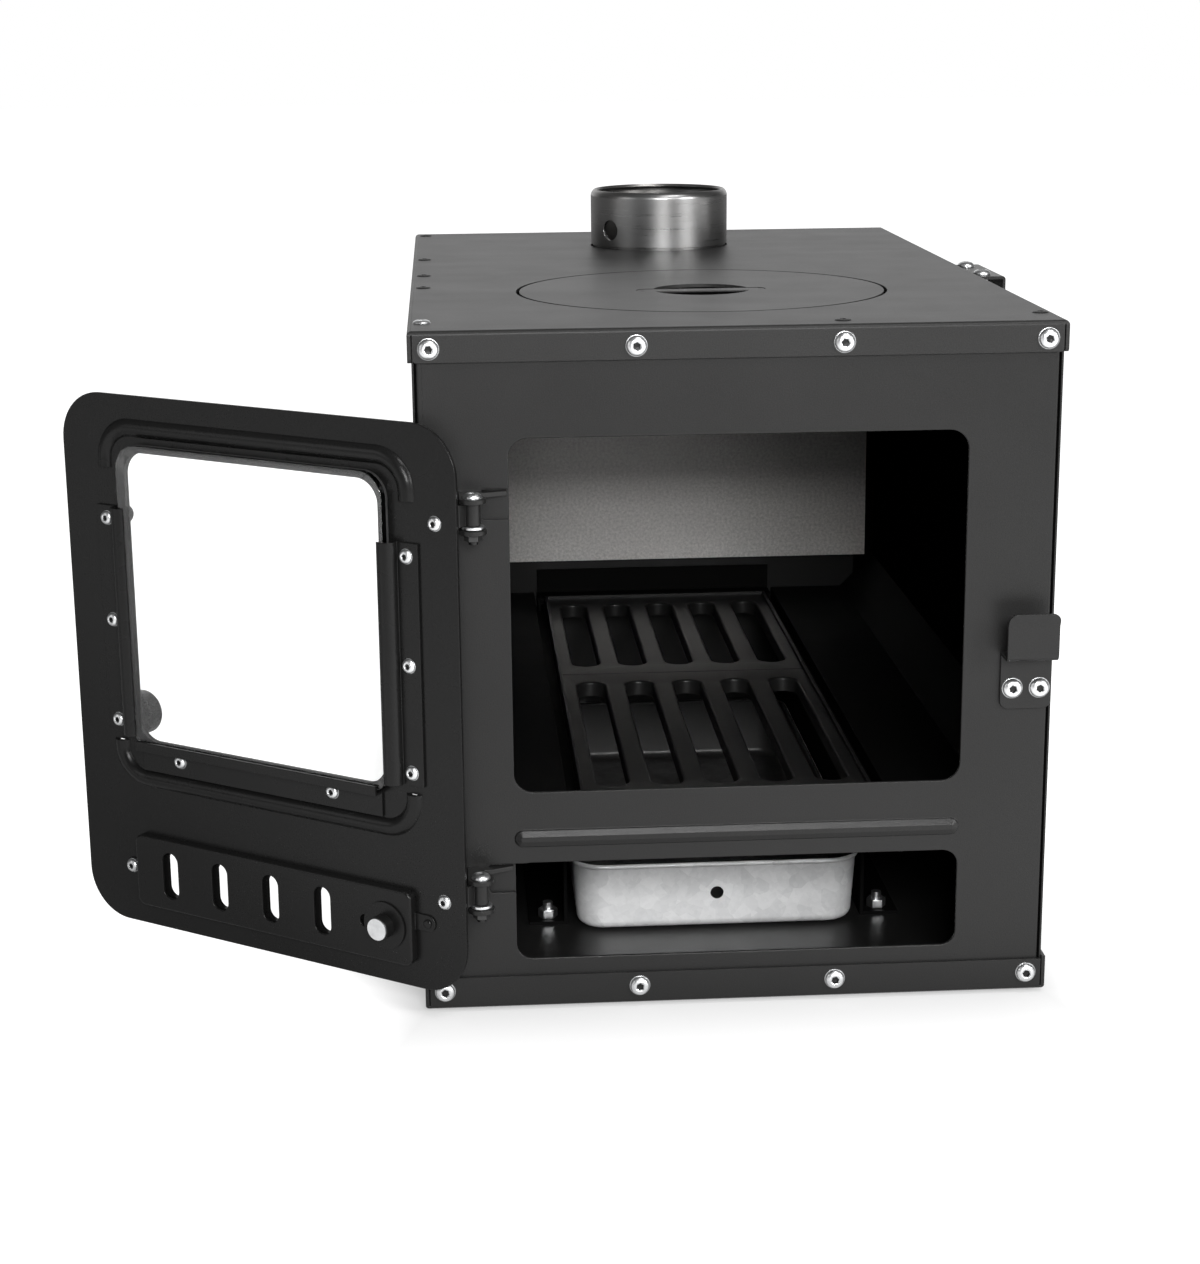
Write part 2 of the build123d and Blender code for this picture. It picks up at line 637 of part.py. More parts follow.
def hearth_end(y_wall, y_edge):
    """The plate between the fire bed and an end panel, turned up against the panel."""
    y0, y1 = sorted((y_wall, y_edge))
    half = GUIDE_INNER_X - SEAT_GAP
    plate = block(-half, half, y0, y1, HEARTH_Z - SHEET, HEARTH_Z)
    for side in (-1, 1):
        x0, x1 = sorted((side * half, side * (half - SHEET)))
        plate += block(x0, x1, y0, y1, GUIDE_RAIL_Z, HEARTH_Z - SHEET)
    inward = SHEET if y_wall < 0 else -SHEET
    w0, w1 = sorted((y_wall, y_wall + inward))
    return plate + block(-half, half, w0, w1, HEARTH_Z, FIREBOX_SILL_Z - SHEET)


def guide_bolt_places():
    x = GUIDE_OUTER_X + GUIDE_FOOT_BOLT
    front = FRONT_Y + GUIDE_SETBACK + GUIDE_FOOT_BOLT
    back = BACK_Y - GUIDE_REAR_MARGIN - GUIDE_FOOT_BOLT
    return [(side * x, y) for side in (-1, 1) for y in (front, back)]


def pan_guide(side):
    """An upright beside the ash pan, with a foot on the tray and a rail for the fire bed."""
    y0, y1 = FRONT_Y + GUIDE_SETBACK, BACK_Y - GUIDE_REAR_MARGIN
    wall0, wall1 = FRONT_Y + 2 * SHEET + SEAT_GAP, BACK_Y - 2 * SHEET - SEAT_GAP
    inner, outer = GUIDE_INNER_X, GUIDE_OUTER_X
    guide = block(inner, outer, y0, y1, TRAY_TOP, GUIDE_RAIL_Z)
    guide += block(inner, outer + GUIDE_FOOT_WIDTH, y0, y1, TRAY_TOP, TRAY_TOP + SHEET)
    guide += block(inner, outer, wall0, wall1, ASH_HEAD_Z + SHEET, GUIDE_RAIL_Z)
    guide += block(FRAME_LEDGE_INNER, inner, wall0, wall1, GUIDE_RAIL_Z - SHEET, GUIDE_RAIL_Z)
    for x, y in guide_bolt_places():
        if x > 0:
            guide -= rod_z(M6_HOLE, x, y, TRAY_TOP, TRAY_TOP + SHEET)
    return guide if side > 0 else mirror(guide, Plane.YZ)


def guide_studs():
    """Studs with a thin flat head under the tray, threaded up through the guide feet."""
    top = TRAY_TOP + SHEET + M6_NUT_HEIGHT + 2 * THREAD_END
    head = FOOT_HEIGHT - 1.2
    return [
        rod_z(M6_SHANK, x, y, FOOT_HEIGHT, top) + rod_z(M6_HEAD_RADIUS, x, y, head, FOOT_HEIGHT)
        for x, y in guide_bolt_places()
    ]


def guide_nuts():
    return [Pos(x, y, TRAY_TOP + SHEET) * M6_NUT for x, y in guide_bolt_places()]


def grate_frame():
    """A ladder of angle section that holds the grates by their edges."""
    outer, inner = FRAME_OUTER_X, FRAME_INNER_X
    frame = block(-outer, outer, FRAME_START_Y, FRAME_END_Y, GUIDE_RAIL_Z, FRAME_RAIL_TOP)
    inner_y0, inner_y1 = FRAME_START_Y + SHEET, FRAME_END_Y - SHEET
    frame -= block(-inner, inner, inner_y0, inner_y1, GUIDE_RAIL_Z, FRAME_RAIL_TOP)
    ledge = block(-inner, inner, inner_y0, inner_y1, LEDGE_Z - SHEET, LEDGE_Z)
    well = FRAME_LEDGE_INNER
    rib = SLOT_END_MARGIN - 2 * SLOT_LIP - SHEET
    ledge -= block(-well, well, inner_y0 + rib, GRATE_JOINT_Y - rib, 0, HEARTH_Z)
    ledge -= block(-well, well, GRATE_JOINT_Y + rib, inner_y1 - rib, 0, HEARTH_Z)
    return frame + ledge


def grate(y0, y1):
    """A pressed grate: long slots along its depth, their edges turned down."""
    half = GRATE_HALF_WIDTH
    plate = block(-half, half, y0, y1, LEDGE_Z, GRATE_TOP_Z)
    length = y1 - y0 - 2 * SLOT_END_MARGIN
    bottom = GRATE_TOP_Z - SLOT_LIP_DEPTH
    for i in range(SLOT_COUNT):
        x = (i - (SLOT_COUNT - 1) / 2) * SLOT_PITCH
        centre = Pos(x, (y0 + y1) / 2, bottom)
        rim = Rot(0, 0, 90) * SlotOverall(length + 2 * SLOT_LIP, SLOT_WIDTH + 2 * SLOT_LIP)
        plate += centre * extrude(rim, amount=SLOT_LIP_DEPTH)
    for i in range(SLOT_COUNT):
        x = (i - (SLOT_COUNT - 1) / 2) * SLOT_PITCH
        slot = Rot(0, 0, 90) * SlotOverall(length, SLOT_WIDTH)
        plate -= Pos(x, (y0 + y1) / 2, bottom) * extrude(slot, amount=SLOT_LIP_DEPTH)
    rims = [e for e in plate.edges().group_by(Axis.Z)[-1] if inside_slot(e, half, y0, y1)]
    return fillet(rims, SLOT_EDGE_RADIUS)


def inside_slot(edge, half, y0, y1):
    """True for the top edges round the slots, and not for the plate's outline."""
    middle = edge.center()
    return abs(middle.X) < half - 1 and y0 + 1 < middle.Y < y1 - 1


def pan_body(wall):
    """The pan's outline as a solid with sloping sides, drawn in by the wall thickness."""
    y0, y1 = FRONT_Y + PAN_SETBACK, BACK_Y - PAN_REAR_MARGIN
    spread = PAN_HEIGHT * sin(radians(PAN_TAPER)) + wall
    width, length = 2 * (PAN_HALF_WIDTH - spread), y1 - y0 - 2 * spread
    base = RectangleRounded(width, length, PAN_CORNER - spread)
    body = extrude(base, amount=PAN_HEIGHT - wall, taper=-PAN_TAPER)
    body = fillet(body.edges().group_by(Axis.Z)[0], PAN_BOTTOM_RADIUS - wall)
    return Pos(0, (y0 + y1) / 2, TRAY_TOP + PAN_LIFT_GAP + wall) * body


def ash_pan():
    y0 = FRONT_Y + PAN_SETBACK
    hole_z = TRAY_TOP + PAN_LIFT_GAP + PAN_HOLE_RISE
    pan = pan_body(0) - pan_body(PAN_WALL)
    return pan - rod_y(PAN_HOLE_RADIUS, 0, hole_z, y0 - 1, y0 + PAN_CORNER)


def catch_screw_columns():
    middle = CATCH_X + CATCH_WIDTH / 2
    return (middle - CATCH_SCREW_PITCH / 2, middle + CATCH_SCREW_PITCH / 2)


def latch_catch():
    """The hook on the body: a foot, a shelf, and a plate whose lip flares out."""
    back, face = PANEL_Y, PANEL_Y - SHEET
    out = PANEL_Y - SHEET - CATCH_DEPTH
    lip = out - CATCH_LIP_FLARE
    outline = Polyline(
        (back, CATCH_BOTTOM_Z), (back, CATCH_SHELF_Z), (out + SHEET, CATCH_SHELF_Z),
        (out + SHEET, CATCH_PLATE_TOP_Z), (lip + SHEET, CATCH_LIP_TOP_Z),
        (lip, CATCH_LIP_TOP_Z), (out, CATCH_PLATE_TOP_Z), (out, CATCH_SHELF_Z - SHEET),
        (face, CATCH_SHELF_Z - SHEET), (face, CATCH_BOTTOM_Z), close=True,
    )
    side = Plane(origin=(CATCH_X, 0, 0), x_dir=(0, 1, 0), z_dir=(1, 0, 0))
    hook = extrude(side * make_face(outline), amount=CATCH_WIDTH)
    x_edges = hook.edges().filter_by(Axis.X)
    bends = [e for e in x_edges if e.center().Y < out + 0.1 and e.center().Z < CATCH_SHELF_Z]
    hook = fillet(bends, CATCH_BEND)
    ends = hook.faces().filter_by(Axis.Z)
    trims = [f.edges().filter_by(Axis.Y) for f in (ends.sort_by(Axis.Z)[0], ends.sort_by(Axis.Z)[-1])]
    hook = fillet(trims[0] + trims[1], CATCH_CORNER)
    for x in catch_screw_columns():
        hook -= rod_y(M6_HOLE, x, CATCH_SCREW_Z, face - 1, back)
    return hook


def catch_screws():
    """Screws tapped into the front panel and the flange behind it."""
    length = 3 * SHEET + THREAD_END
    y = PANEL_Y - SHEET
    return [
        Pos(x, y, CATCH_SCREW_Z) * Rot(90, 0, 0) * m6_screw(length) for x in catch_screw_columns()
    ]


def hinge_bracket(z):
    """Two ears round the pin, joined by a web, with a tongue through the panel's notch."""
    upper0 = z + BARREL_LENGTH / 2 + EAR_GAP
    upper1 = upper0 + EAR_THICKNESS
    lower1 = z - BARREL_LENGTH / 2 - 2 * EAR_GAP - WASHER_THICKNESS
    lower0 = lower1 - EAR_THICKNESS
    neck_left = PIN_X - EAR_RADIUS
    neck_right = DOOR_X - 2 * EAR_GAP
    behind = DOOR_Y + 2 * EAR_GAP
    tongue_end = -OPENING_HALF_WIDTH - 1
    ear = Pos(PIN_X, PIN_Y) * Circle(EAR_RADIUS)
    ear += Pos((neck_left + neck_right) / 2, (PIN_Y + PANEL_Y) / 2) * Rectangle(
        neck_right - neck_left, PANEL_Y - PIN_Y
    )
    tongue = make_face(
        Polyline(
            (neck_left, behind), (neck_right + 4, behind), (tongue_end, PANEL_Y - SEAT_GAP),
            (tongue_end, PANEL_Y), (neck_left, PANEL_Y), close=True,
        )
    )
    through = -OPENING_HALF_WIDTH - NOTCH_WIDTH + 2 * EAR_GAP
    bracket = extrude(Plane.XY.offset(upper0) * (ear + tongue), amount=EAR_THICKNESS)
    bracket += extrude(Plane.XY.offset(lower0) * ear, amount=EAR_THICKNESS)
    bracket += block(neck_left, neck_right, PANEL_Y - EAR_THICKNESS, PANEL_Y, lower0, upper1)
    bracket += block(through, tongue_end, PANEL_Y, PANEL_Y + SHEET, upper0, upper1)
    plate0 = PANEL_Y + SHEET
    half = BACK_PLATE_HEIGHT / 2
    bracket += block(neck_left, -OPENING_HALF_WIDTH, plate0, plate0 + SHEET, z - half, z + half)
    return bracket - rod_z(PIN_RADIUS + PIN_FIXED_CLEARANCE, PIN_X, PIN_Y, lower0, upper1)


def hinge_pins():
    pins = []
    for z in HINGE_Z:
        top = z + BARREL_LENGTH / 2 + EAR_GAP + EAR_THICKNESS
        under = z - BARREL_LENGTH / 2 - 2 * EAR_GAP - WASHER_THICKNESS - EAR_THICKNESS
        length = top - under + M4_NUT_HEIGHT + THREAD_END
        pins.append(Pos(PIN_X, PIN_Y, top) * screw(4.9, 3.2, PIN_RADIUS, length))
    return pins


def hinge_washers():
    washers = []
    for z in HINGE_Z:
        z1 = z - BARREL_LENGTH / 2 - EAR_GAP
        ring = rod_z(WASHER_RADIUS, PIN_X, PIN_Y, z1 - WASHER_THICKNESS, z1)
        hole = rod_z(PIN_RADIUS + PIN_FIXED_CLEARANCE, PIN_X, PIN_Y, z1 - WASHER_THICKNESS, z1)
        washers.append(ring - hole)
    return washers


def hinge_nuts():
    nuts = []
    for z in HINGE_Z:
        under = z - BARREL_LENGTH / 2 - 2 * EAR_GAP - WASHER_THICKNESS - EAR_THICKNESS
        body = nut(M4_NUT_RADIUS + 0.6, M4_NUT_HEIGHT, PIN_RADIUS + 0.05)
        nuts.append(Pos(PIN_X, PIN_Y, under - M4_NUT_HEIGHT) * body)
    return nuts


def hanger_screw_places():
    y0 = FRONT_Y + HANGER_FROM_FRONT
    z = BODY_HEIGHT - CAP_SKIRT - HANGER_JOG - HANGER_FOOT / 2
    return [(y0 + inset, z) for inset in (HANGER_BOLT_INSET, HANGER_LENGTH - HANGER_BOLT_INSET)]


def hanger_bracket():
    """A strap that steps out past the cap's skirt and hooks down again."""
    top = BODY_HEIGHT - HANGER_TOP_DROP
    wall = HALF_WIDTH - SHEET
    clear = HALF_WIDTH + HANGER_JOG
    tip = HALF_WIDTH + HANGER_REACH
    jog_z = BODY_HEIGHT - CAP_SKIRT - HANGER_JOG
    foot_z = jog_z - HANGER_FOOT
    outline = Polyline(
        (wall, foot_z), (wall, jog_z), (clear, jog_z), (clear, top), (tip, top),
        (tip, top - HANGER_LIP), (tip - SHEET, top - HANGER_LIP), (tip - SHEET, top - SHEET),
        (clear + SHEET, top - SHEET), (clear + SHEET, jog_z - SHEET),
        (wall + SHEET, jog_z - SHEET), (wall + SHEET, foot_z), close=True,
    )
    y0 = FRONT_Y + HANGER_FROM_FRONT
    strap = plate_y(make_face(outline), y0, y0 + HANGER_LENGTH)
    y_edges = strap.edges().filter_by(Axis.Y)
    bends = [e for e in y_edges if e.center().Z > top - 0.1 and e.center().X > HALF_WIDTH]
    strap = fillet(bends, SHEET)
    for y, z in hanger_screw_places():
        strap -= rod_x(M6_HOLE, y, z, wall, wall + SHEET)
        strap -= rod_z(M6_HOLE, tip - HANGER_REACH / 2, y, top - SHEET, top)
    return strap


def hanger_screws():
    """Screws through the strap's foot, tapped into the side panel and flush inside."""
    length = 2 * SHEET
    return [
        Pos(HALF_WIDTH, y, z) * Rot(0, 90, 0) * m6_screw(length) for y, z in hanger_screw_places()
    ]


def hanger_bolts():
    """Short bolts in the strap's top, where a shelf or rail is fastened."""
    x = HALF_WIDTH + HANGER_REACH / 2
    top = BODY_HEIGHT - HANGER_TOP_DROP
    length = SHEET + M6_NUT_HEIGHT + THREAD_END
    return [Pos(x, y, top) * m6_screw(length) for y, _ in hanger_screw_places()]


def hanger_nuts():
    x = HALF_WIDTH + HANGER_REACH / 2
    under = BODY_HEIGHT - HANGER_TOP_DROP - SHEET
    return [Pos(x, y, under - M6_NUT_HEIGHT) * M6_NUT for y, _ in hanger_screw_places()]


# Door pieces are drawn with X along the door from its hinge edge, Y inward and Z up.
# Y = 0 is the inner face of the door sheet and Y = -SHEET is its outer face.


def on_door(shape):
    """Hang a door piece on its hinge and swing it to its open rest place."""
    pin = Pos(PIN_X, PIN_Y, 0)
    back = Pos(-PIN_X, -PIN_Y, 0)
    return pin * Rot(0, 0, -DOOR_OPEN_ANGLE) * back * Pos(DOOR_X, DOOR_Y, 0) * shape


def air_slot_columns():
    return [AIR_SLOT_START + i * AIR_SLOT_PITCH for i in range(AIR_SLOT_COUNT)]


def spindle_run():
    """The slot in which the air spindle slides, in the door and in the cover."""
    height = 2 * AIR_SPINDLE_RADIUS + 1
    return Pos(AIR_KNOB_U + AIR_TRAVEL / 2, AIR_Z) * SlotOverall(height + AIR_TRAVEL, height)


def air_slot(u):
    return Pos(u, AIR_Z) * Rot(0, 0, 90) * SlotOverall(AIR_SLOT_HEIGHT, AIR_SLOT_WIDTH)


def strip_screw_places():
    """U and Z of the screws in the two side strips, then in the bottom strip."""
    middle = WINDOW_SILL_Z + STRIP_START_RISE + STRIP_LENGTH / 2
    rows = [middle + i * STRIP_SCREW_PITCH for i in (-1, 0, 1)]
    columns = (STRIP_SCREW_MARGIN, DOOR_WIDTH - STRIP_SCREW_MARGIN)
    places = [(u, z) for u in columns for z in rows]
    low = WINDOW_SILL_Z - GLASS_SILL_LAP - STRIP_THICKNESS - M4_HEAD_RADIUS - 2 * SEAT_GAP
    return places + [(u, low) for u in BOTTOM_STRIP_SCREWS]


def bead(points, start_dir):
    """A half-round bead pressed into the door sheet along an open path."""
    path = FilletPolyline(*[(u, 0, z) for u, z in points], radius=BEAD_CORNER)
    u, z = points[0]
    along = (0, 0, start_dir)
    across = (start_dir, 0, 0)

    def swept(width, height, depth):
        plane = Plane(origin=(u, depth, z), x_dir=across, z_dir=along)
        arc = ThreePointArc((-width / 2, 0), (0, height), (width / 2, 0))
        face = make_face(Curve() + [arc, Line((width / 2, 0), (-width / 2, 0))])
        rail = Pos(0, depth, 0) * path
        return sweep(plane * face, path=rail)

    raised = swept(BEAD_WIDTH, BEAD_PROUD, 0)
    hollow = swept(BEAD_WIDTH - 2 * SHEET, BEAD_PROUD - 0.6, -SHEET)
    return raised, hollow


def bead_paths():
    u0, u1 = BEAD_SIDE_MARGIN, DOOR_WIDTH - BEAD_SIDE_MARGIN
    top = WINDOW_TOP_Z + BEAD_TOP_RISE
    low = WINDOW_SILL_Z - BEAD_BOTTOM_DROP
    upper = [(u0, top - BEAD_LEG - 2), (u0, top), (u1, top), (u1, top - BEAD_LEG - 2)]
    lower = [(u0, low + BEAD_LEG), (u0, low), (u1, low), (u1, low + BEAD_LEG)]
    return (upper, 1), (lower, -1)


def door_panel():
    face = rounded_window(0, DOOR_WIDTH, DOOR_BOTTOM_Z, DOOR_TOP_Z, DOOR_CORNER)
    face -= rounded_window(
        WINDOW_SIDE_MARGIN, WINDOW_END, WINDOW_SILL_Z, WINDOW_TOP_Z, WINDOW_CORNER
    )
    for u in air_slot_columns():
        face -= air_slot(u)
    for u, z in strip_screw_places() + [air_screw_place(), air_rivet_place()]:
        face -= Pos(u, z) * Circle(M4_HOLE)
    for z in HINGE_Z:
        face -= Pos(LEAF_SCREW_U, z - LEAF_SCREW_DROP) * Circle(M4_HOLE)
    face -= spindle_run()
    panel = plate_y(face, -SHEET, 0)
    for points, start_dir in bead_paths():
        raised, hollow = bead(points, start_dir)
        panel += raised
        panel -= hollow
    return panel


def glass_outline():
    return (
        WINDOW_SIDE_MARGIN - GLASS_LAP, WINDOW_END + GLASS_LAP,
        WINDOW_SILL_Z - GLASS_SILL_LAP, WINDOW_TOP_Z + GLASS_LAP,
    )


def glass_gasket():
    ring = rounded_window(*glass_outline(), GLASS_CORNER)
    ring -= rounded_window(
        WINDOW_SIDE_MARGIN, WINDOW_END, WINDOW_SILL_Z, WINDOW_TOP_Z, WINDOW_CORNER
    )
    return plate_y(ring, 0, GASKET_THICKNESS)


def window_glass():
    y1 = GASKET_THICKNESS + GLASS_THICKNESS
    return plate_y(rounded_window(*glass_outline(), GLASS_CORNER), GASKET_THICKNESS, y1)


def glass_strip(latch_side):
    """A strip screwed to the door whose rounded channel holds the edge of the glass."""
    z0 = WINDOW_SILL_Z + STRIP_START_RISE
    z1 = z0 + STRIP_LENGTH
    over = GASKET_THICKNESS + GLASS_THICKNESS + SEAT_GAP
    channel_end = WINDOW_SIDE_MARGIN + 1
    channel_start = channel_end - CHANNEL_WIDTH
    radius = CHANNEL_WIDTH / 2
    centre = channel_start + radius
    spring = CHANNEL_HEIGHT - radius
    outer = Pos(centre, spring) * Circle(radius)
    outer += Pos(centre, spring / 2) * Rectangle(CHANNEL_WIDTH, spring)
    inner = Pos(centre, spring) * Circle(radius - STRIP_THICKNESS)
    inner += Pos(centre, spring / 2) * Rectangle(CHANNEL_WIDTH - 2 * STRIP_THICKNESS, spring)
    wall = outer - inner
    glass_edge = WINDOW_SIDE_MARGIN - GLASS_LAP - SEAT_GAP
    keep = channel_end - glass_edge
    wall -= Pos(glass_edge + keep / 2, over / 2) * Rectangle(keep, over)
    foot = channel_start - STRIP_OUTER_MARGIN + STRIP_THICKNESS
    wall += Pos(STRIP_OUTER_MARGIN + foot / 2, STRIP_THICKNESS / 2) * Rectangle(
        foot, STRIP_THICKNESS
    )
    wall &= Pos(DOOR_WIDTH / 2, CHANNEL_HEIGHT / 2) * Rectangle(DOOR_WIDTH, CHANNEL_HEIGHT)
    strip = extrude(Plane.XY.offset(z0) * wall, amount=z1 - z0)
    for u, z in strip_screw_places():
        if u == STRIP_SCREW_MARGIN:
            strip -= rod_y(M4_HOLE, u, z, 0, STRIP_THICKNESS)
    if latch_side:
        return mirror(strip, Plane.YZ.offset(DOOR_WIDTH / 2))
    return strip


def glass_strip_bottom():
    z1 = WINDOW_SILL_Z - GLASS_SILL_LAP - SEAT_GAP
    z0 = z1 - BOTTOM_STRIP_DEPTH
    u0, u1 = BOTTOM_STRIP_MARGIN, DOOR_WIDTH - BOTTOM_STRIP_MARGIN + GLASS_LAP
    over = GASKET_THICKNESS + GLASS_THICKNESS + SEAT_GAP
    high = over + STRIP_THICKNESS
    strip = block(u0, u1, 0, STRIP_THICKNESS, z0, z1)
    strip += block(u0, u1, 0, high, z1 - STRIP_THICKNESS, z1)
    strip += block(u0, u1, over, high, z1 - STRIP_THICKNESS, WINDOW_SILL_Z)
    for u, z in strip_screw_places()[-2:]:
        strip -= rod_y(M4_HOLE, u, z, 0, STRIP_THICKNESS)
    return strip


def strip_screws():
    length = STRIP_THICKNESS + SHEET + M4_NUT_HEIGHT + THREAD_END
    return [
        Pos(u, STRIP_THICKNESS, z) * Rot(-90, 0, 0) * m4_screw(length)
        for u, z in strip_screw_places()
    ]


def strip_nuts():
    return [Pos(u, -SHEET, z) * Rot(90, 0, 0) * M4_NUT for u, z in strip_screw_places()]


def air_screw_place():
    """U and Z of the screw that holds the cover, on its latch side."""
    return AIR_COVER_END + AIR_EAR_REACH, AIR_Z


def air_rivet_place():
    """U and Z of the rivet that holds the cover, on its hinge side."""
    return AIR_COVER_START - AIR_RIVET_REACH, AIR_Z + AIR_RIVET_RISE


def air_cover():
    """A shallow pressed cover over the air slots, with a thin round ear at each end."""
    z0, z1 = AIR_Z - AIR_COVER_HEIGHT / 2, AIR_Z + AIR_COVER_HEIGHT / 2
    u0, u1 = AIR_COVER_START, AIR_COVER_END
    wall = AIR_COVER_WALL
    cover = block(u0, u1, 0, AIR_COVER_PROUD, z0, z1)
    cover = fillet(cover.edges().filter_by(Axis.Y), 5)
    cover = fillet(cover.edges().group_by(Axis.Y)[-1], wall)
    for inner, (u, z) in ((u0 + wall, air_rivet_place()), (u1 - wall, air_screw_place())):
        ear = Pos(u, z) * Circle(AIR_EAR_RADIUS)
        ear += Pos((u + inner) / 2, z) * Rectangle(abs(u - inner), 2 * AIR_EAR_RADIUS)
        cover += plate_y(ear, 0, AIR_EAR_THICKNESS)
    cover -= block(u0 + wall, u1 - wall, 0, AIR_COVER_PROUD - wall, z0 + wall, z1 - wall)
    for u in air_slot_columns():
        cover -= plate_y(air_slot(u), 0, AIR_COVER_PROUD)
    cover -= plate_y(spindle_run(), 0, AIR_COVER_PROUD)
    for u, z in (air_screw_place(), air_rivet_place()):
        cover -= rod_y(M4_HOLE, u, z, 0, wall)
    return cover


def air_cover_screw():
    u, z = air_screw_place()
    length = AIR_EAR_THICKNESS + SHEET + M4_NUT_HEIGHT + THREAD_END
    return Pos(u, AIR_EAR_THICKNESS, z) * Rot(-90, 0, 0) * m4_screw(length)


def air_screw_nut():
    u, z = air_screw_place()
    return [Pos(u, -SHEET, z) * Rot(90, 0, 0) * M4_NUT]


def air_cover_rivet():
    """A rivet through the cover's hinge-side ear and the door, spread on the outer face."""
    u, z = air_rivet_place()
    head = rod_y(AIR_RIVET_RADIUS, u, z, AIR_EAR_THICKNESS, AIR_EAR_THICKNESS + AIR_RIVET_HEIGHT)
    head = fillet(head.edges().group_by(Axis.Y)[-1], AIR_RIVET_HEIGHT * 0.8)
    shank = rod_y(M4_SHANK, u, z, -SHEET, AIR_EAR_THICKNESS)
    return head + shank + rod_y(AIR_RIVET_RADIUS, u, z, -SHEET - AIR_RIVET_HEIGHT, -SHEET)


def air_slider():
    """The plate behind the cover whose slots slide out of line to shut off the air."""
    gap = AIR_COVER_WALL + 1.5
    u0 = AIR_COVER_START + gap
    u1 = AIR_COVER_END - gap - AIR_TRAVEL
    z0 = AIR_Z - AIR_COVER_HEIGHT / 2 + gap
    z1 = AIR_Z + AIR_COVER_HEIGHT / 2 - gap
    face = rounded_window(u0, u1, z0, z1, 3)
    for u in air_slot_columns():
        face -= Pos(-AIR_REST_OFFSET, 0) * air_slot(u)
    face -= Pos(AIR_KNOB_U, AIR_Z) * Circle(AIR_SPINDLE_RADIUS + PIN_RUNNING_CLEARANCE)
    return plate_y(face, AIR_SLIDER_GAP, AIR_SLIDER_GAP + AIR_SLIDER_THICKNESS)


def air_bush():
    """A bush in front of the cover, with a flange wide enough to hide the spindle's slot."""
    y0 = AIR_COVER_PROUD + SEAT_GAP
    bush = rod_y(AIR_BUSH_RADIUS, AIR_KNOB_U, AIR_Z, y0, AIR_BUSH_FACE)
    bush += rod_y(AIR_BUSH_FLANGE_RADIUS, AIR_KNOB_U, AIR_Z, y0, y0 + AIR_BUSH_FLANGE)
    bore = AIR_SPINDLE_RADIUS + PIN_RUNNING_CLEARANCE
    return bush - rod_y(bore, AIR_KNOB_U, AIR_Z, y0, AIR_BUSH_FACE)


def air_spindle():
    """The spindle, with the bright turned face that shows in the middle of the bush."""
    tip = -AIR_OUTER_KNOB_LENGTH
    spindle = rod_y(AIR_SPINDLE_RADIUS, AIR_KNOB_U, AIR_Z, tip, AIR_BUSH_FACE)
    head = rod_y(AIR_BUSH_RADIUS - 0.6, AIR_KNOB_U, AIR_Z, AIR_BUSH_FACE, AIR_BUSH_FACE + 0.8)
    return spindle + head


def air_knob():
    near = -SHEET - AIR_SLIDER_GAP
    knob = rod_y(
        AIR_OUTER_KNOB_RADIUS, AIR_KNOB_U, AIR_Z, near - AIR_OUTER_KNOB_LENGTH, near
    )
    knob = fillet(knob.edges().group_by(Axis.Y)[0], 1.5)
    bore = AIR_SPINDLE_RADIUS + PIN_RUNNING_CLEARANCE
    tip = -AIR_OUTER_KNOB_LENGTH - PIN_RUNNING_CLEARANCE
    return knob - rod_y(bore, AIR_KNOB_U, AIR_Z, tip, near)


def hinge_leaf(z):
    """A leaf screwed to the door's outer face, turned out to the barrel round the pin."""
    low, high = z - BARREL_LENGTH / 2, z + BARREL_LENGTH / 2
    screw_z = z - LEAF_SCREW_DROP
    clear_of_ears = EAR_RADIUS
    leaf = block(1, LEAF_LENGTH, -2 * SHEET, -SHEET, low, high)
    leaf += block(
        clear_of_ears, LEAF_LENGTH, -2 * SHEET, -SHEET, screw_z - BARREL_LENGTH / 2, high
    )
    web_end = BARREL_RADIUS - PIN_EDGE_GAP
    leaf += block(web_end - SHEET, web_end, -PIN_FROM_INNER_FACE, -SHEET, low, high)
    leaf += rod_z(BARREL_RADIUS, -PIN_EDGE_GAP, -PIN_FROM_INNER_FACE, low, high)
    bore = PIN_RADIUS + PIN_RUNNING_CLEARANCE
    leaf -= rod_z(bore, -PIN_EDGE_GAP, -PIN_FROM_INNER_FACE, low, high)
    return leaf - rod_y(M4_HOLE, LEAF_SCREW_U, screw_z, -2 * SHEET, -SHEET)


def leaf_screws():
    length = 2 * SHEET + M4_NUT_HEIGHT + THREAD_END
    return [
        Pos(LEAF_SCREW_U, 0, z - LEAF_SCREW_DROP) * Rot(-90, 0, 0) * m4_screw(length)
        for z in HINGE_Z
    ]


def leaf_nuts():
    return [
        Pos(LEAF_SCREW_U, -2 * SHEET, z - LEAF_SCREW_DROP) * Rot(90, 0, 0) * M4_NUT
        for z in HINGE_Z
    ]


def latch_arm_faces():
    """The outer and inner faces of the latch arm."""
    inner = -SHEET - LATCH_SPACER - LATCH_SIDE_GAP
    return inner - LATCH_ARM_THICKNESS, inner


def latch_pivot():
    """The stud on the door's outer face, with its spacing washer."""
    outer, _ = latch_arm_faces()
    tip = outer - LATCH_SIDE_GAP - M6_NUT_HEIGHT - THREAD_END
    stud = rod_y(LATCH_STUD_RADIUS, LATCH_U, LATCH_Z, tip, -SHEET)
    return stud + rod_y(LATCH_ARM_WIDTH / 2, LATCH_U, LATCH_Z, -SHEET - LATCH_SPACER, -SHEET)


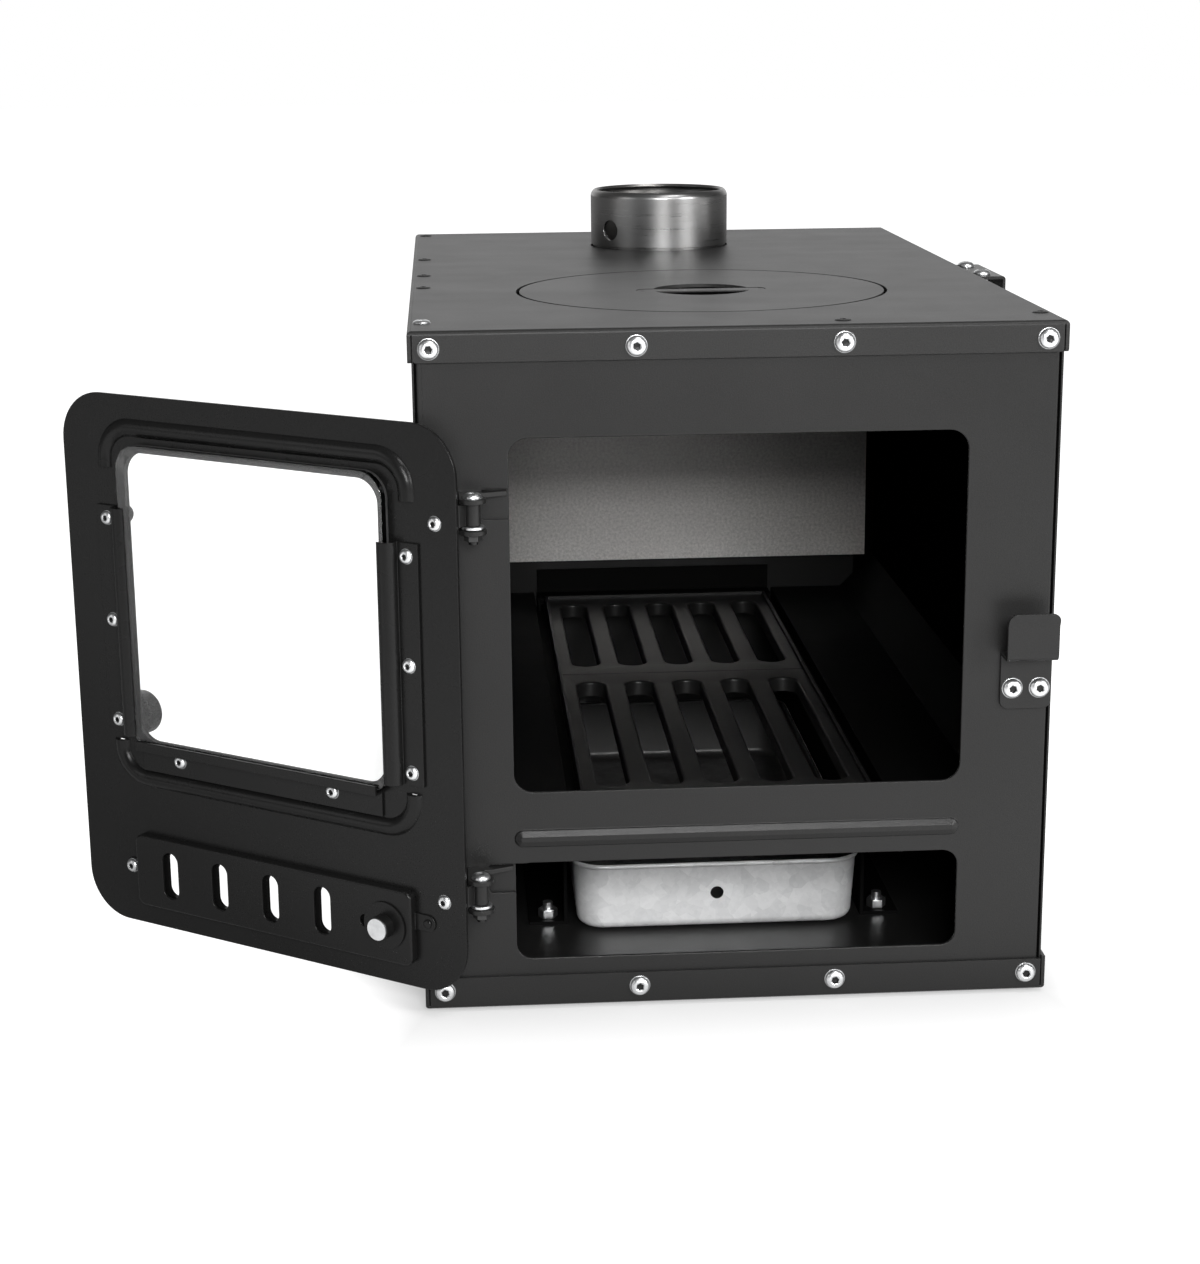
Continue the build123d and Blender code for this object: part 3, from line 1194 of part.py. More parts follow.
def latch_pivot_nut():
    outer, _ = latch_arm_faces()
    body = nut(M6_NUT_RADIUS, M6_NUT_HEIGHT, LATCH_STUD_RADIUS + 0.05)
    return Pos(LATCH_U, outer - LATCH_SIDE_GAP, LATCH_Z) * Rot(90, 0, 0) * body


def latch_arm():
    outer, inner = latch_arm_faces()
    centre = Pos(LATCH_U, LATCH_Z - LATCH_ARM / 2)
    face = centre * Rot(0, 0, 90) * SlotCenterToCenter(LATCH_ARM, LATCH_ARM_WIDTH)
    face -= Pos(LATCH_U, LATCH_Z) * Circle(LATCH_STUD_RADIUS + LATCH_STUD_CLEARANCE)
    face -= Pos(LATCH_U, LATCH_Z - LATCH_ARM) * Circle(LATCH_STUD_RADIUS + PIN_FIXED_CLEARANCE)
    return plate_y(face, outer, inner)


def latch_stud():
    """The sleeve that holds the knob away from the hot door, and its screw head."""
    outer, inner = latch_arm_faces()
    z = LATCH_Z - LATCH_ARM
    far = outer - LATCH_KNOB_STANDOFF
    stud = rod_y(LATCH_SLEEVE_RADIUS, LATCH_U, z, far, outer)
    return stud + rod_y(LATCH_STUD_RADIUS, LATCH_U, z, outer, inner)


def latch_stop():
    """A capped post on the door's outer face, which the raised latch arm comes to rest on."""
    u = DOOR_WIDTH - LATCH_STOP_U_MARGIN
    foot = -SHEET - LATCH_STOP_POST
    post = rod_y(LATCH_SLEEVE_RADIUS, u, LATCH_STOP_Z, foot, -SHEET)
    cap = rod_y(LATCH_STOP_RADIUS, u, LATCH_STOP_Z, foot - LATCH_STOP_CAP, foot)
    cap = fillet(cap.edges().group_by(Axis.Y)[0], LATCH_STOP_CAP * 0.7)
    return post + cap


def latch_knob():
    outer, _ = latch_arm_faces()
    z = LATCH_Z - LATCH_ARM
    near = outer - LATCH_KNOB_STANDOFF
    knob = rod_y(LATCH_KNOB_RADIUS, LATCH_U, z, near - LATCH_KNOB_THICKNESS, near)
    knob = fillet(knob.edges().group_by(Axis.Y)[0], 3)
    return fillet(knob.edges().group_by(Axis.Y)[-1], 1.2)


def model():
    """Every piece of the stove by name, in its place at rest."""
    made = {
        "base_tray": base_tray(),
        "foot_pads": foot_pads(),
        "side_panel_left": side_panel(-1),
        "side_panel_right": side_panel(1),
        "front_panel": front_panel(),
        "rear_panel": rear_panel(),
        "top_cap": top_cap(),
        "skirt_screws": skirt_screws(),
        "body_nuts": skirt_nuts() + guide_nuts() + lining_nuts() + hanger_nuts(),
        "top_screws": top_screws(),
        "rear_lining": rear_lining(),
        "lining_spacers": lining_spacers(),
        "lining_bolts": lining_bolts(),
        "lid_ring": lid_ring(),
        "hob_lid": hob_lid(),
        "lid_bar": lid_bar(),
        "flue_collar": flue_collar(),
        "hearth_left": hearth_side(-1),
        "hearth_right": hearth_side(1),
        "hearth_front": hearth_end(FRONT_Y + 2 * SHEET, FRAME_START_Y - SEAT_GAP),
        "hearth_rear": hearth_end(BACK_Y - 2 * SHEET, FRAME_END_Y + SEAT_GAP),
        "pan_guide_left": pan_guide(-1),
        "pan_guide_right": pan_guide(1),
        "guide_studs": guide_studs(),
        "grate_frame": grate_frame(),
        "grate_front": grate(FRONT_GRATE_Y, GRATE_JOINT_Y),
        "grate_rear": grate(REAR_GRATE_Y, REAR_GRATE_END),
        "ash_pan": ash_pan(),
        "latch_catch": latch_catch(),
        "catch_screws": catch_screws(),
        "hinge_bracket_lower": hinge_bracket(HINGE_Z[0]),
        "hinge_bracket_upper": hinge_bracket(HINGE_Z[1]),
        "hinge_pins": hinge_pins(),
        "hinge_washers": hinge_washers(),
        "hinge_nuts": hinge_nuts(),
        "hanger_bracket": hanger_bracket(),
        "hanger_screws": hanger_screws() + hanger_bolts(),
    }
    hung = {
        "door_panel": door_panel(),
        "glass_gasket": glass_gasket(),
        "window_glass": window_glass(),
        "glass_strip_hinge_side": glass_strip(False),
        "glass_strip_latch_side": glass_strip(True),
        "glass_strip_bottom": glass_strip_bottom(),
        "strip_screws": strip_screws(),
        "door_nuts": strip_nuts() + air_screw_nut() + leaf_nuts(),
        "air_cover": air_cover(),
        "air_cover_screw": air_cover_screw(),
        "air_cover_rivet": air_cover_rivet(),
        "air_slider": air_slider(),
        "air_bush": air_bush(),
        "air_spindle": air_spindle(),
        "air_knob": air_knob(),
        "hinge_leaves": [hinge_leaf(z) for z in HINGE_Z],
        "leaf_screws": leaf_screws(),
        "latch_pivot": latch_pivot(),
        "latch_pivot_nut": latch_pivot_nut(),
        "latch_arm": latch_arm(),
        "latch_stud": latch_stud(),
        "latch_knob": latch_knob(),
        "latch_stop": latch_stop(),
    }
    for name, shape in hung.items():
        made[name] = [on_door(s) for s in shape] if isinstance(shape, list) else on_door(shape)
    return made


os.makedirs("parts", exist_ok=True)
for name, shape in model().items():
    solid = Compound(children=shape) if isinstance(shape, list) else shape
    export_step(solid, f"parts/{name}.step")
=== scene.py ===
import json
import math

import bpy
from mathutils import Matrix, Vector


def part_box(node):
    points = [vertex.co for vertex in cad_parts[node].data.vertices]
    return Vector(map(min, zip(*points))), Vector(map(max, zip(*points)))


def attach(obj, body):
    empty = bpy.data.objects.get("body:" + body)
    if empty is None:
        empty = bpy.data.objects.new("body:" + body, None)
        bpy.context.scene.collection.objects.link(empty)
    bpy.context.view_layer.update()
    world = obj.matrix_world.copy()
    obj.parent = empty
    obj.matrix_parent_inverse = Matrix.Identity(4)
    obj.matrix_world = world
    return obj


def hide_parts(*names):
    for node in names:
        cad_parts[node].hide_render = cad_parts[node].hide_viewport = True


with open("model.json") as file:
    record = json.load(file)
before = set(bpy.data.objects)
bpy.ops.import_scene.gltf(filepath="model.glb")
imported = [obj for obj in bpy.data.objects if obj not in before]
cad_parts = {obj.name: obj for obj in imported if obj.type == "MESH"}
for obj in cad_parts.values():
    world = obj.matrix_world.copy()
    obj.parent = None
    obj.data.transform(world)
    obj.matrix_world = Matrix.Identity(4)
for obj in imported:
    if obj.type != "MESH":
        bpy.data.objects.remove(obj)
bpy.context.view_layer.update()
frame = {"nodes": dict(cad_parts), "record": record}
nodes = frame["nodes"]
record = frame["record"]

# Lengths are in metres. The floor is at z = 0 and the stove's front faces -Y.
MM = 0.001

# Sizes of the screws and of the door's layout, as on the bench
SHEET = 2 * MM
M6_HEAD = (5.2 * MM, 2.9 * MM)
M4_HEAD = (3.8 * MM, 2.2 * MM)
M6_SHANK = 2.9 * MM
M4_SHANK = 1.95 * MM
M6_NUT_HEIGHT = 5 * MM
M4_NUT_HEIGHT = 3.2 * MM
THREAD_END = 2 * MM
SKIRT_SCREW_INSET = 10.5 * MM
SKIRT_SCREW_SPACING = 104.4 * MM
CAP_SCREW_DROP = 9 * MM
BASE_SCREW_RISE = 12 * MM
CATCH_SCREW_Z = 170.9 * MM
CATCH_SCREW_PITCH = 14.2 * MM
LINING_STANDOFF = 6 * MM
LINING_BOLT_X = 120 * MM
LINING_BOLT_Z = (240 * MM, 320 * MM)
HANGER_BOLT_INSET = 12 * MM
HANGER_SCREW_Z = 330 * MM
HANGER_BOLT_REACH = 12 * MM
DOOR_WIDTH = 259 * MM
PIN_EDGE_GAP = 2.5 * MM
PIN_FROM_INNER_FACE = 11 * MM
STRIP_THICKNESS = 1.5 * MM
STRIP_SCREW_MARGIN = 30 * MM
STRIP_SCREW_PITCH = 57 * MM
STRIP_MIDDLE_Z = 193 * MM
BOTTOM_STRIP_SCREWS = (82 * MM, 186 * MM)
BOTTOM_STRIP_SCREW_Z = 117.6 * MM
COVER_SCREW = (225.8 * MM, 1 * MM, 50.5 * MM)
LEAF_SCREW_U = 13 * MM
LEAF_SCREW_DROP = 4.3 * MM
HINGE_Z = (72.5 * MM, 272.5 * MM)
PIN_HEAD = (4.9 * MM, 2.6 * MM)
PIN_SHANK = 2.5 * MM
PIN_HEAD_RISE = 8.3 * MM

# Small screws in the top plate: a row by its left edge and two more
TOP_SCREW_INSET = 7.4 * MM
TOP_SCREW_STEPS = (32.5 * MM, 189.8 * MM, 253.1 * MM, 347.2 * MM, 511.9 * MM)
TOP_FRONT_SCREW_X = 53.5 * MM
TOP_FRONT_SCREW_STEP = 15.2 * MM
TOP_SCREW_HEAD = (4.4 * MM, 1.6 * MM)
PAINTED_HEAD = (4.2 * MM, 0.8 * MM)

# The ash pan's rolled rim
RIM_BEAD = 1.5 * MM
RIM_CORNER = 18 * MM
RIM_DEPTH = 0.6

# How far apart loose corners of a node may be and still be joined
JOIN_DISTANCE = 0.01 * MM

body_low, body_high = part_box("top_cap")
HALF_WIDTH = body_high.x
FRONT_Y = body_low.y
BACK_Y = body_high.y
TOP_Z = body_high.z

# Heights between which the lining's colour turns from bare to near-black: painted shade towards
# its top
SHADE_FOOT = 165 * MM
SHADE_TOP = 260 * MM

pan_low, pan_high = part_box("ash_pan")
PAN_MIDDLE_Y = (pan_low.y + pan_high.y) / 2


# Shader helpers


class Material:
    """A procedural finish: small helpers round one shader tree."""

    def __init__(self, name):
        self.mat = bpy.data.materials.new(name)
        self.mat.use_nodes = True
        self.tree = self.mat.node_tree
        self.shader = self.tree.nodes["Principled BSDF"]
        self.place = self.node("ShaderNodeTexCoord").outputs["Object"]

    def node(self, kind, **settings):
        made = self.tree.nodes.new(kind)
        for key, value in settings.items():
            setattr(made, key, value)
        return made

    def feed(self, socket, value):
        """Sets an input to a number or colour, or links it to another node's output."""
        if isinstance(value, bpy.types.NodeSocket):
            self.tree.links.new(value, socket)
        else:
            socket.default_value = value

    def stretched(self, stretch):
        mapping = self.node("ShaderNodeMapping")
        mapping.inputs["Scale"].default_value = stretch
        self.feed(mapping.inputs["Vector"], self.place)
        return mapping.outputs["Vector"]

    def noise(self, scale, detail=3.0, rough=0.55, stretch=(1, 1, 1)):
        """Soft random grain, scale in features per metre."""
        made = self.node("ShaderNodeTexNoise")
        made.inputs["Scale"].default_value = scale
        made.inputs["Detail"].default_value = detail
        made.inputs["Roughness"].default_value = rough
        self.feed(made.inputs["Vector"], self.stretched(stretch))
        return made.outputs["Fac"]

    def cells(self, scale):
        made = self.node("ShaderNodeTexVoronoi")
        made.inputs["Scale"].default_value = scale
        self.feed(made.inputs["Vector"], self.place)
        return made.outputs["Color"]

    def span(self, value, low, high, to_low, to_high):
        """Maps a value from one range to another, clamped."""
        made = self.node("ShaderNodeMapRange")
        for name, number in (
            ("Value", value),
            ("From Min", low),
            ("From Max", high),
            ("To Min", to_low),
            ("To Max", to_high),
        ):
            self.feed(made.inputs[name], number)
        return made.outputs["Result"]

    def math(self, operation, a, b=0.0):
        made = self.node("ShaderNodeMath", operation=operation)
        self.feed(made.inputs[0], a)
        self.feed(made.inputs[1], b)
        return made.outputs["Value"]

    def mix(self, amount, first, second, how="MIX"):
        made = self.node("ShaderNodeMix", data_type="RGBA", blend_type=how)
        for index, value in ((0, amount), (6, first), (7, second)):
            self.feed(made.inputs[index], value)
        return made.outputs[2]

    def bump(self, height, distance):
        made = self.node("ShaderNodeBump")
        made.inputs["Distance"].default_value = distance
        self.feed(made.inputs["Height"], height)
        return made.outputs["Normal"]

    def set(self, **values):
        for name, value in values.items():
            self.feed(self.shader.inputs[name.replace("_", " ")], value)
        return self.mat


def grey(level, warm=0.0):
    return (level * (1 + warm), level, level * (1 - warm), 1.0)


def heatproof_paint(name, level, rough, gloss, streaks=0.0, shaded_inside=None):
    """Satin stove paint: fine grain, faint clouding, uneven gloss and soft wiped streaks.

    Faces nearer the middle than the last argument, a distance along X, are painted near-black,
    rough and without gloss: painted shade inside the firebox.
    """
    m = Material(name)
    clouds = m.span(m.noise(9, 4), 0.3, 0.7, 0, 1)
    fine = m.noise(1500, 2)
    tone = m.mix(clouds, grey(level * 0.88, 0.01), grey(level * 1.12, 0.01))
    speck = m.mix(m.span(fine, 0.25, 0.75, 0, 1), grey(0.7), grey(1.3))
    wiped = m.span(m.noise(6, 5, 0.6, (0.35, 5, 1)), 0.35, 0.65, 1 - streaks, 1 + streaks)
    patches = m.span(m.noise(30, 3), 0.3, 0.7, rough - 0.012, rough + 0.015)
    colour, shine = m.mix(1.0, tone, speck, "MULTIPLY"), m.math("MULTIPLY", patches, wiped)
    mirror = gloss
    if shaded_inside:
        # Near the middle the colour turns near-black, rough and glossless: painted shade inside
        # the firebox
        across = m.node("ShaderNodeSeparateXYZ")
        m.feed(across.inputs[0], m.place)
        painted_shade = m.math("LESS_THAN", m.math("ABSOLUTE", across.outputs[0]), shaded_inside)
        colour = m.mix(painted_shade, colour, grey(0.002))
        shine = m.math("ADD", shine, m.math("MULTIPLY", painted_shade, 0.35))
        mirror = m.span(painted_shade, 0, 1, gloss, 0.0)
    return m.set(
        Base_Color=colour,
        Roughness=shine,
        Specular_IOR_Level=mirror,
        Normal=m.bump(fine, 0.00006),
    )


def bright_plate(name, level, rough):
    """Zinc or turned metal: bright, with faint clouding and fine scratches, and near-black where a
    screw marks it: painted shade in the socket and a painted contact shadow round the seat.
    """
    m = Material(name)
    clouds = m.span(m.noise(240, 3), 0.3, 0.7, 0, 1)
    lines = m.noise(700, 4, 0.6, (1, 1, 5))
    plate = m.mix(clouds, grey(level * 0.8, -0.01), grey(level, -0.01))
    seat_and_socket_shade = m.node("ShaderNodeAttribute", attribute_name="seat_and_socket_shade").outputs["Fac"]
    # Marked rings are painted near-black: painted shade in the socket and a painted contact shadow
    # round the seat
    return m.set(
        Base_Color=m.mix(seat_and_socket_shade, plate, grey(0.03)),
        Metallic=1.0,
        Roughness=m.span(lines, 0.3, 0.7, rough - 0.05, rough + 0.08),
        Normal=m.bump(lines, 0.00001),
    )


def collar_steel(name, level, rough):
    """Drawn steel: lines run round the collar, with a faint brown bloom of oil."""
    m = Material(name)
    lines = m.noise(20, 5, 0.65, (1, 1, 40))
    bloom = m.span(m.noise(16, 3), 0.4, 0.7, 0, 1)
    return m.set(
        Base_Color=m.mix(bloom, grey(level, 0.0), grey(level * 0.86, 0.03)),
        Metallic=1.0,
        Roughness=m.span(lines, 0.3, 0.7, rough - 0.05, rough + 0.07),
        Normal=m.bump(lines, 0.000015),
    )


def lining_sheet(name, level, rough):
    """Dull bare sheet with a sandy mottle, and painted shade towards the top: darker and less
    glossy there.
    """
    m = Material(name)
    sand = m.noise(520, 4, 0.7)
    clouds = m.span(m.noise(12, 4), 0.3, 0.7, 0, 1)
    tone = m.mix(clouds, grey(level * 0.85, 0.03), grey(level, 0.03))
    speck = m.mix(m.span(sand, 0.3, 0.7, 0, 1), grey(0.7), grey(1.25))
    # Painted shade: from the lower height to the upper one the colour fades to near-black and the
    # gloss dies away
    height = m.node("ShaderNodeSeparateXYZ")
    m.feed(height.inputs[0], m.place)
    painted_shade = m.span(height.outputs[2], SHADE_FOOT, SHADE_TOP, 0, 1)
    return m.set(
        Base_Color=m.mix(painted_shade, m.mix(1.0, tone, speck, "MULTIPLY"), grey(0.01)),
        Specular_IOR_Level=m.span(painted_shade, 0, 1, 0.5, 0.05),
        Metallic=0.5,
        Roughness=m.span(sand, 0.3, 0.7, rough - 0.06, rough + 0.08),
        Normal=m.bump(sand, 0.00008),
    )


def galvanised(name, level, rough, middle_y):
    """Galvanised sheet: overlapping pale spangles, and faces turned to the middle or upward
    painted near-black: painted shade inside the pan.
    """
    m = Material(name)
    spangle = m.node("ShaderNodeSeparateColor")
    m.feed(spangle.inputs["Color"], m.cells(130))
    small = m.node("ShaderNodeSeparateColor")
    m.feed(small.inputs["Color"], m.cells(420))
    both = m.math("ADD", spangle.outputs[0], m.math("MULTIPLY", small.outputs[0], 0.5))
    shade = m.span(both, 0.0, 1.5, 0, 1)
    geometry = m.node("ShaderNodeNewGeometry")
    outward = m.node("ShaderNodeVectorMath", operation="MULTIPLY_ADD")
    m.feed(outward.inputs[0], m.place)
    outward.inputs[1].default_value = (1, 1, 0)
    outward.inputs[2].default_value = (0, -middle_y, -20 * MM)
    turned = m.node("ShaderNodeVectorMath", operation="DOT_PRODUCT")
    m.feed(turned.inputs[0], geometry.outputs["Normal"])
    m.feed(turned.inputs[1], outward.outputs[0])
    # Faces turned to the pan's middle or upward are painted near-black: painted shade inside the
    # pan
    inner_shade = m.math("LESS_THAN", turned.outputs["Value"], 0.0)
    clean = m.mix(shade, grey(level * 0.8, -0.008), grey(level, -0.004))
    return m.set(
        Base_Color=m.mix(inner_shade, clean, grey(0.03, 0.02)),
        Metallic=0.25,
        Roughness=m.span(shade, 0, 1, rough - 0.08, rough + 0.08),
        Normal=m.bump(m.noise(90, 3), 0.0001),
    )


def plain_mould(name, level, rough, gloss=0.5):
    m = Material(name)
    fine = m.noise(900, 3)
    tone = m.mix(m.span(fine, 0.3, 0.7, 0, 1), grey(level * 0.9), grey(level * 1.1))
    return m.set(
        Base_Color=tone,
        Roughness=m.span(fine, 0.3, 0.7, rough - 0.04, rough + 0.05),
        Specular_IOR_Level=gloss,
        Normal=m.bump(fine, 0.00001),
    )


def woven_tape(name, level):
    """Flat heat-proof tape: fine crossed threads."""
    m = Material(name)
    across = m.noise(600, 2, 0.5, (1, 1, 4))
    along = m.noise(600, 2, 0.5, (4, 4, 1))
    weave = m.math("MAXIMUM", across, along)
    tone = m.mix(m.span(weave, 0.4, 0.7, 0, 1), grey(level * 0.6), grey(level * 1.2))
    return m.set(Base_Color=tone, Roughness=0.95, Normal=m.bump(weave, 0.0002))


def clear_glass(name):
    """Clear glass with the faintest smears."""
    m = Material(name)
    smear = m.noise(14, 4)
    return m.set(
        Base_Color=(0.985, 0.99, 0.987, 1),
        Roughness=m.span(smear, 0.35, 0.75, 0.0, 0.02),
        IOR=1.5,
        Transmission_Weight=1.0,
    )


FINISHES = {
    "body_paint": heatproof_paint("charcoal_body_paint", 0.012, 0.35, 0.24),
    "hob_steel": heatproof_paint("hob_lid_paint", 0.017, 0.42, 0.24, streaks=0.02),
    "door_paint": heatproof_paint("black_door_paint", 0.007, 0.27, 0.18),
    "firebox_steel": heatproof_paint("firebox_paint", 0.003, 0.6, 0.04),
    "lining_steel": lining_sheet("rear_lining_steel", 0.66, 0.42),
    "zinc_screws": bright_plate("zinc_plate", 0.75, 0.34),
    "collar_steel": collar_steel("drawn_collar_steel", 0.27, 0.3),
    "pan_steel": galvanised("galvanised_pan_steel", 0.96, 0.4, PAN_MIDDLE_Y),
    "glass": clear_glass("window_glass"),
    "gasket": woven_tape("woven_gasket", 0.03),
    "knob_black": plain_mould("black_knob", 0.012, 0.28),
    "pad_rubber": plain_mould("pad_rubber", 0.02, 0.8),
}
# Finishes of single nodes, in place of their slot's
GRATE_PAINT = heatproof_paint("grate_paint", 0.009, 0.36, 0.26)
# The side panels' inner faces are painted near-black: painted shade inside the firebox
SIDE_PAINT = heatproof_paint("side_paint", 0.013, 0.4, 0.22, shaded_inside=HALF_WIDTH - 1.5 * SHEET)
TOP_PAINT = heatproof_paint("charcoal_top_paint", 0.017, 0.42, 0.22, streaks=0.02)


# Geometry Nodes helpers


class Tree:
    """A Geometry Nodes tree with named inputs, and small helpers to build it."""

    def __init__(self, name, inputs):
        self.tree = bpy.data.node_groups.new(name, "GeometryNodeTree")
        sockets = self.tree.interface
        sockets.new_socket("Geometry", in_out="INPUT", socket_type="NodeSocketGeometry")
        for label, kind in inputs.items():
            sockets.new_socket(label, in_out="INPUT", socket_type=f"NodeSocket{kind}")
        sockets.new_socket("Geometry", in_out="OUTPUT", socket_type="NodeSocketGeometry")
        self.given = self.tree.nodes.new("NodeGroupInput").outputs
        self.result = self.tree.nodes.new("NodeGroupOutput").inputs["Geometry"]

    def link(self, source, target):
        if isinstance(source, bpy.types.NodeSocket):
            self.tree.links.new(source, target)
        else:
            target.default_value = source

    def node(self, kind, inputs=None, **settings):
        made = self.tree.nodes.new(kind)
        for key, value in settings.items():
            setattr(made, key, value)
        for name, value in (inputs or {}).items():
            self.link(value, made.inputs[name])
        return made

    def math(self, operation, a, b=0.0):
        return self.node("ShaderNodeMath", {0: a, 1: b}, operation=operation).outputs[0]

    def compare(self, operation, a, b):
        made = self.node("FunctionNodeCompare", {"A": a, "B": b}, operation=operation)
        return made.outputs["Result"]

    def pick(self, index, values):
        """One of several numbers, by index."""
        made = self.node("GeometryNodeIndexSwitch", {"Index": index}, data_type="FLOAT")
        while len(made.index_switch_items) < len(values):
            made.index_switch_items.new()
        for i, value in enumerate(values):
            self.link(value, made.inputs[i + 1])
        return made.outputs[0]

    def stored(self, shape, name, kind, value):
        made = self.node(
            "GeometryNodeStoreNamedAttribute",
            {"Geometry": shape, "Name": name, "Value": value},
            data_type=kind,
            domain="POINT",
        )
        return made.outputs["Geometry"]

    def named(self, name, kind):
        made = self.node("GeometryNodeInputNamedAttribute", {"Name": name}, data_type=kind)
        return made.outputs["Attribute"]

    def shaded(self, shape, sharp_angle):
        """Shades a shape smooth, except across edges sharper than an angle."""
        faces = self.node("GeometryNodeSetShadeSmooth", {"Geometry": shape})
        angle = self.node("GeometryNodeInputMeshEdgeAngle").outputs["Unsigned Angle"]
        flat = self.compare("LESS_THAN", angle, sharp_angle)
        edges = self.node(
            "GeometryNodeSetShadeSmooth",
            {"Geometry": faces.outputs["Geometry"], "Shade Smooth": flat},
            domain="EDGE",
        )
        return edges.outputs["Geometry"]

    def finished(self, shape, material):
        """Ends the tree: real copies, in one material."""
        real = self.node("GeometryNodeRealizeInstances", {"Geometry": shape}).outputs["Geometry"]
        painted = self.node("GeometryNodeSetMaterial", {"Geometry": real, "Material": material})
        self.link(painted.outputs["Geometry"], self.result)
        return self.tree


def set_input(modifier, name, value):
    for item in modifier.node_group.interface.items_tree:
        if item.item_type == "SOCKET" and item.in_out == "INPUT" and item.name == name:
            modifier[item.identifier] = value


def smooth_sheet():
    """Joins a node's loose faces and shades it smooth, except across its sharp edges."""
    t = Tree("smooth_sheet", {"Join Distance": "Float", "Sharp Angle": "Float"})
    merged = t.node(
        "GeometryNodeMergeByDistance",
        {"Geometry": t.given["Geometry"], "Distance": t.given["Join Distance"]},
    )
    t.link(t.shaded(merged.outputs["Geometry"], t.given["Sharp Angle"]), t.result)
    return t.tree


def button_screw():
    """Button-head screws with a hexagon socket, one at each point of a loose mesh.

    Each point carries "facing", the way its head looks, and "length", its shank's length.
    """
    steps = 36
    t = Tree(
        "button_screw",
        {
            "Head Radius": "Float",
            "Head Height": "Float",
            "Shank Radius": "Float",
            "Seed": "Int",
            "Sharp Angle": "Float",
            "Material": "Material",
        },
    )
    head, high, shank = (t.given[n] for n in ("Head Radius", "Head Height", "Shank Radius"))
    # Each ring of the outline: radius, as a share of the shank's or the head's, height as a
    # share of the head's, and whether the ring is a hexagon
    rings = (
        (shank, 0, 0, False),
        (shank, 0.8, 0, False),
        (shank, 1, 0.1, False),
        (shank, 1, 0, False),
        # The lip out to 1.1 of the head stands for the contact shadow round the head: it is
        # painted dark
        (head, 1.1, 0, False),
        (head, 1.08, 0.03, False),
        (head, 0.98, 0.04, False),
        (head, 1, 0.18, False),
        (head, 0.97, 0.42, False),
        (head, 0.87, 0.68, False),
        (head, 0.72, 0.88, False),
        (head, 0.58, 0.98, False),
        (head, 0.5, 1, False),
        (head, 0.46, 0.97, False),
        (head, 0.41, 0.85, True),
        (head, 0.39, 0.25, True),
        (head, 0, 0.12, False),
    )
    # Rings up to the seat and past the socket's edge are marked for painted shade: dark in the
    # socket, and a painted contact shadow round the seat
    tip_rings, seat_ring, socket_ring = 3, 5, len(rings) - 3
    grid = t.node("GeometryNodeMeshGrid", {"Vertices X": steps + 1, "Vertices Y": len(rings)})
    index = t.node("GeometryNodeInputIndex").outputs[0]
    ring = t.math("FLOORED_MODULO", index, len(rings))
    step = t.math("FLOOR", t.math("DIVIDE", index, len(rings)))
    angle = t.math("MULTIPLY", step, math.tau / steps)
    side = t.math("SUBTRACT", t.math("FLOORED_MODULO", angle, math.tau / 6), math.tau / 12)
    hexagon = t.math("DIVIDE", math.cos(math.tau / 12), t.math("COSINE", side))
    radius = t.pick(
        ring,
        [
            t.math("MULTIPLY", t.math("MULTIPLY", of, share), hexagon if six else 1.0)
            for of, share, _, six in rings
        ],
    )
    height = t.pick(ring, [t.math("MULTIPLY", high, share) for _, _, share, _ in rings])
    place = t.node(
        "ShaderNodeCombineXYZ",
        {
            "X": t.math("MULTIPLY", radius, t.math("COSINE", angle)),
            "Y": t.math("MULTIPLY", radius, t.math("SINE", angle)),
            "Z": height,
        },
    )
    turned = t.node(
        "GeometryNodeSetPosition", {"Geometry": grid.outputs["Mesh"], "Position": place.outputs[0]}
    )
    is_tip = t.compare("LESS_THAN", ring, tip_rings - 0.5)
    marked = t.stored(turned.outputs["Geometry"], "tip", "BOOLEAN", is_tip)
    in_socket = t.compare("GREATER_THAN", ring, socket_ring + 0.5)
    on_seat = t.compare("LESS_THAN", ring, seat_ring + 0.5)
    seat_and_socket_shade = t.math("MAXIMUM", in_socket, on_seat)
    marked = t.stored(marked, "seat_and_socket_shade", "FLOAT", seat_and_socket_shade)
    facing = t.named("facing", "FLOAT_VECTOR")
    aim = t.node("FunctionNodeAlignRotationToVector", {"Vector": facing}, axis="Z")
    any_turn = t.node(
        "FunctionNodeRandomValue", {"Max": math.tau, "Seed": t.given["Seed"]}, data_type="FLOAT"
    )
    spin = t.node("ShaderNodeCombineXYZ", {"Z": any_turn.outputs[1]})
    twist = t.node("FunctionNodeEulerToRotation", {"Euler": spin.outputs[0]})
    aimed = t.node(
        "FunctionNodeRotateRotation",
        {"Rotation": aim.outputs[0], "Rotate By": twist.outputs[0]},
        rotation_space="LOCAL",
    )
    copies = t.node(
        "GeometryNodeInstanceOnPoints",
        {"Points": t.given["Geometry"], "Instance": marked, "Rotation": aimed.outputs[0]},
    )
    real = t.node("GeometryNodeRealizeInstances", {"Geometry": copies.outputs["Instances"]})
    backward = t.math("MULTIPLY", t.named("length", "FLOAT"), -1)
    back = t.node(
        "ShaderNodeVectorMath",
        {0: t.named("facing", "FLOAT_VECTOR"), "Scale": backward},
        operation="SCALE",
    )
    long = t.node(
        "GeometryNodeSetPosition",
        {
            "Geometry": real.outputs["Geometry"],
            "Selection": t.named("tip", "BOOLEAN"),
            "Offset": back.outputs[0],
        },
    )
    closed = t.node(
        "GeometryNodeMergeByDistance",
        {"Geometry": long.outputs["Geometry"], "Distance": JOIN_DISTANCE},
    )
    smooth = t.shaded(closed.outputs["Geometry"], t.given["Sharp Angle"])
    return t.finished(smooth, t.given["Material"])


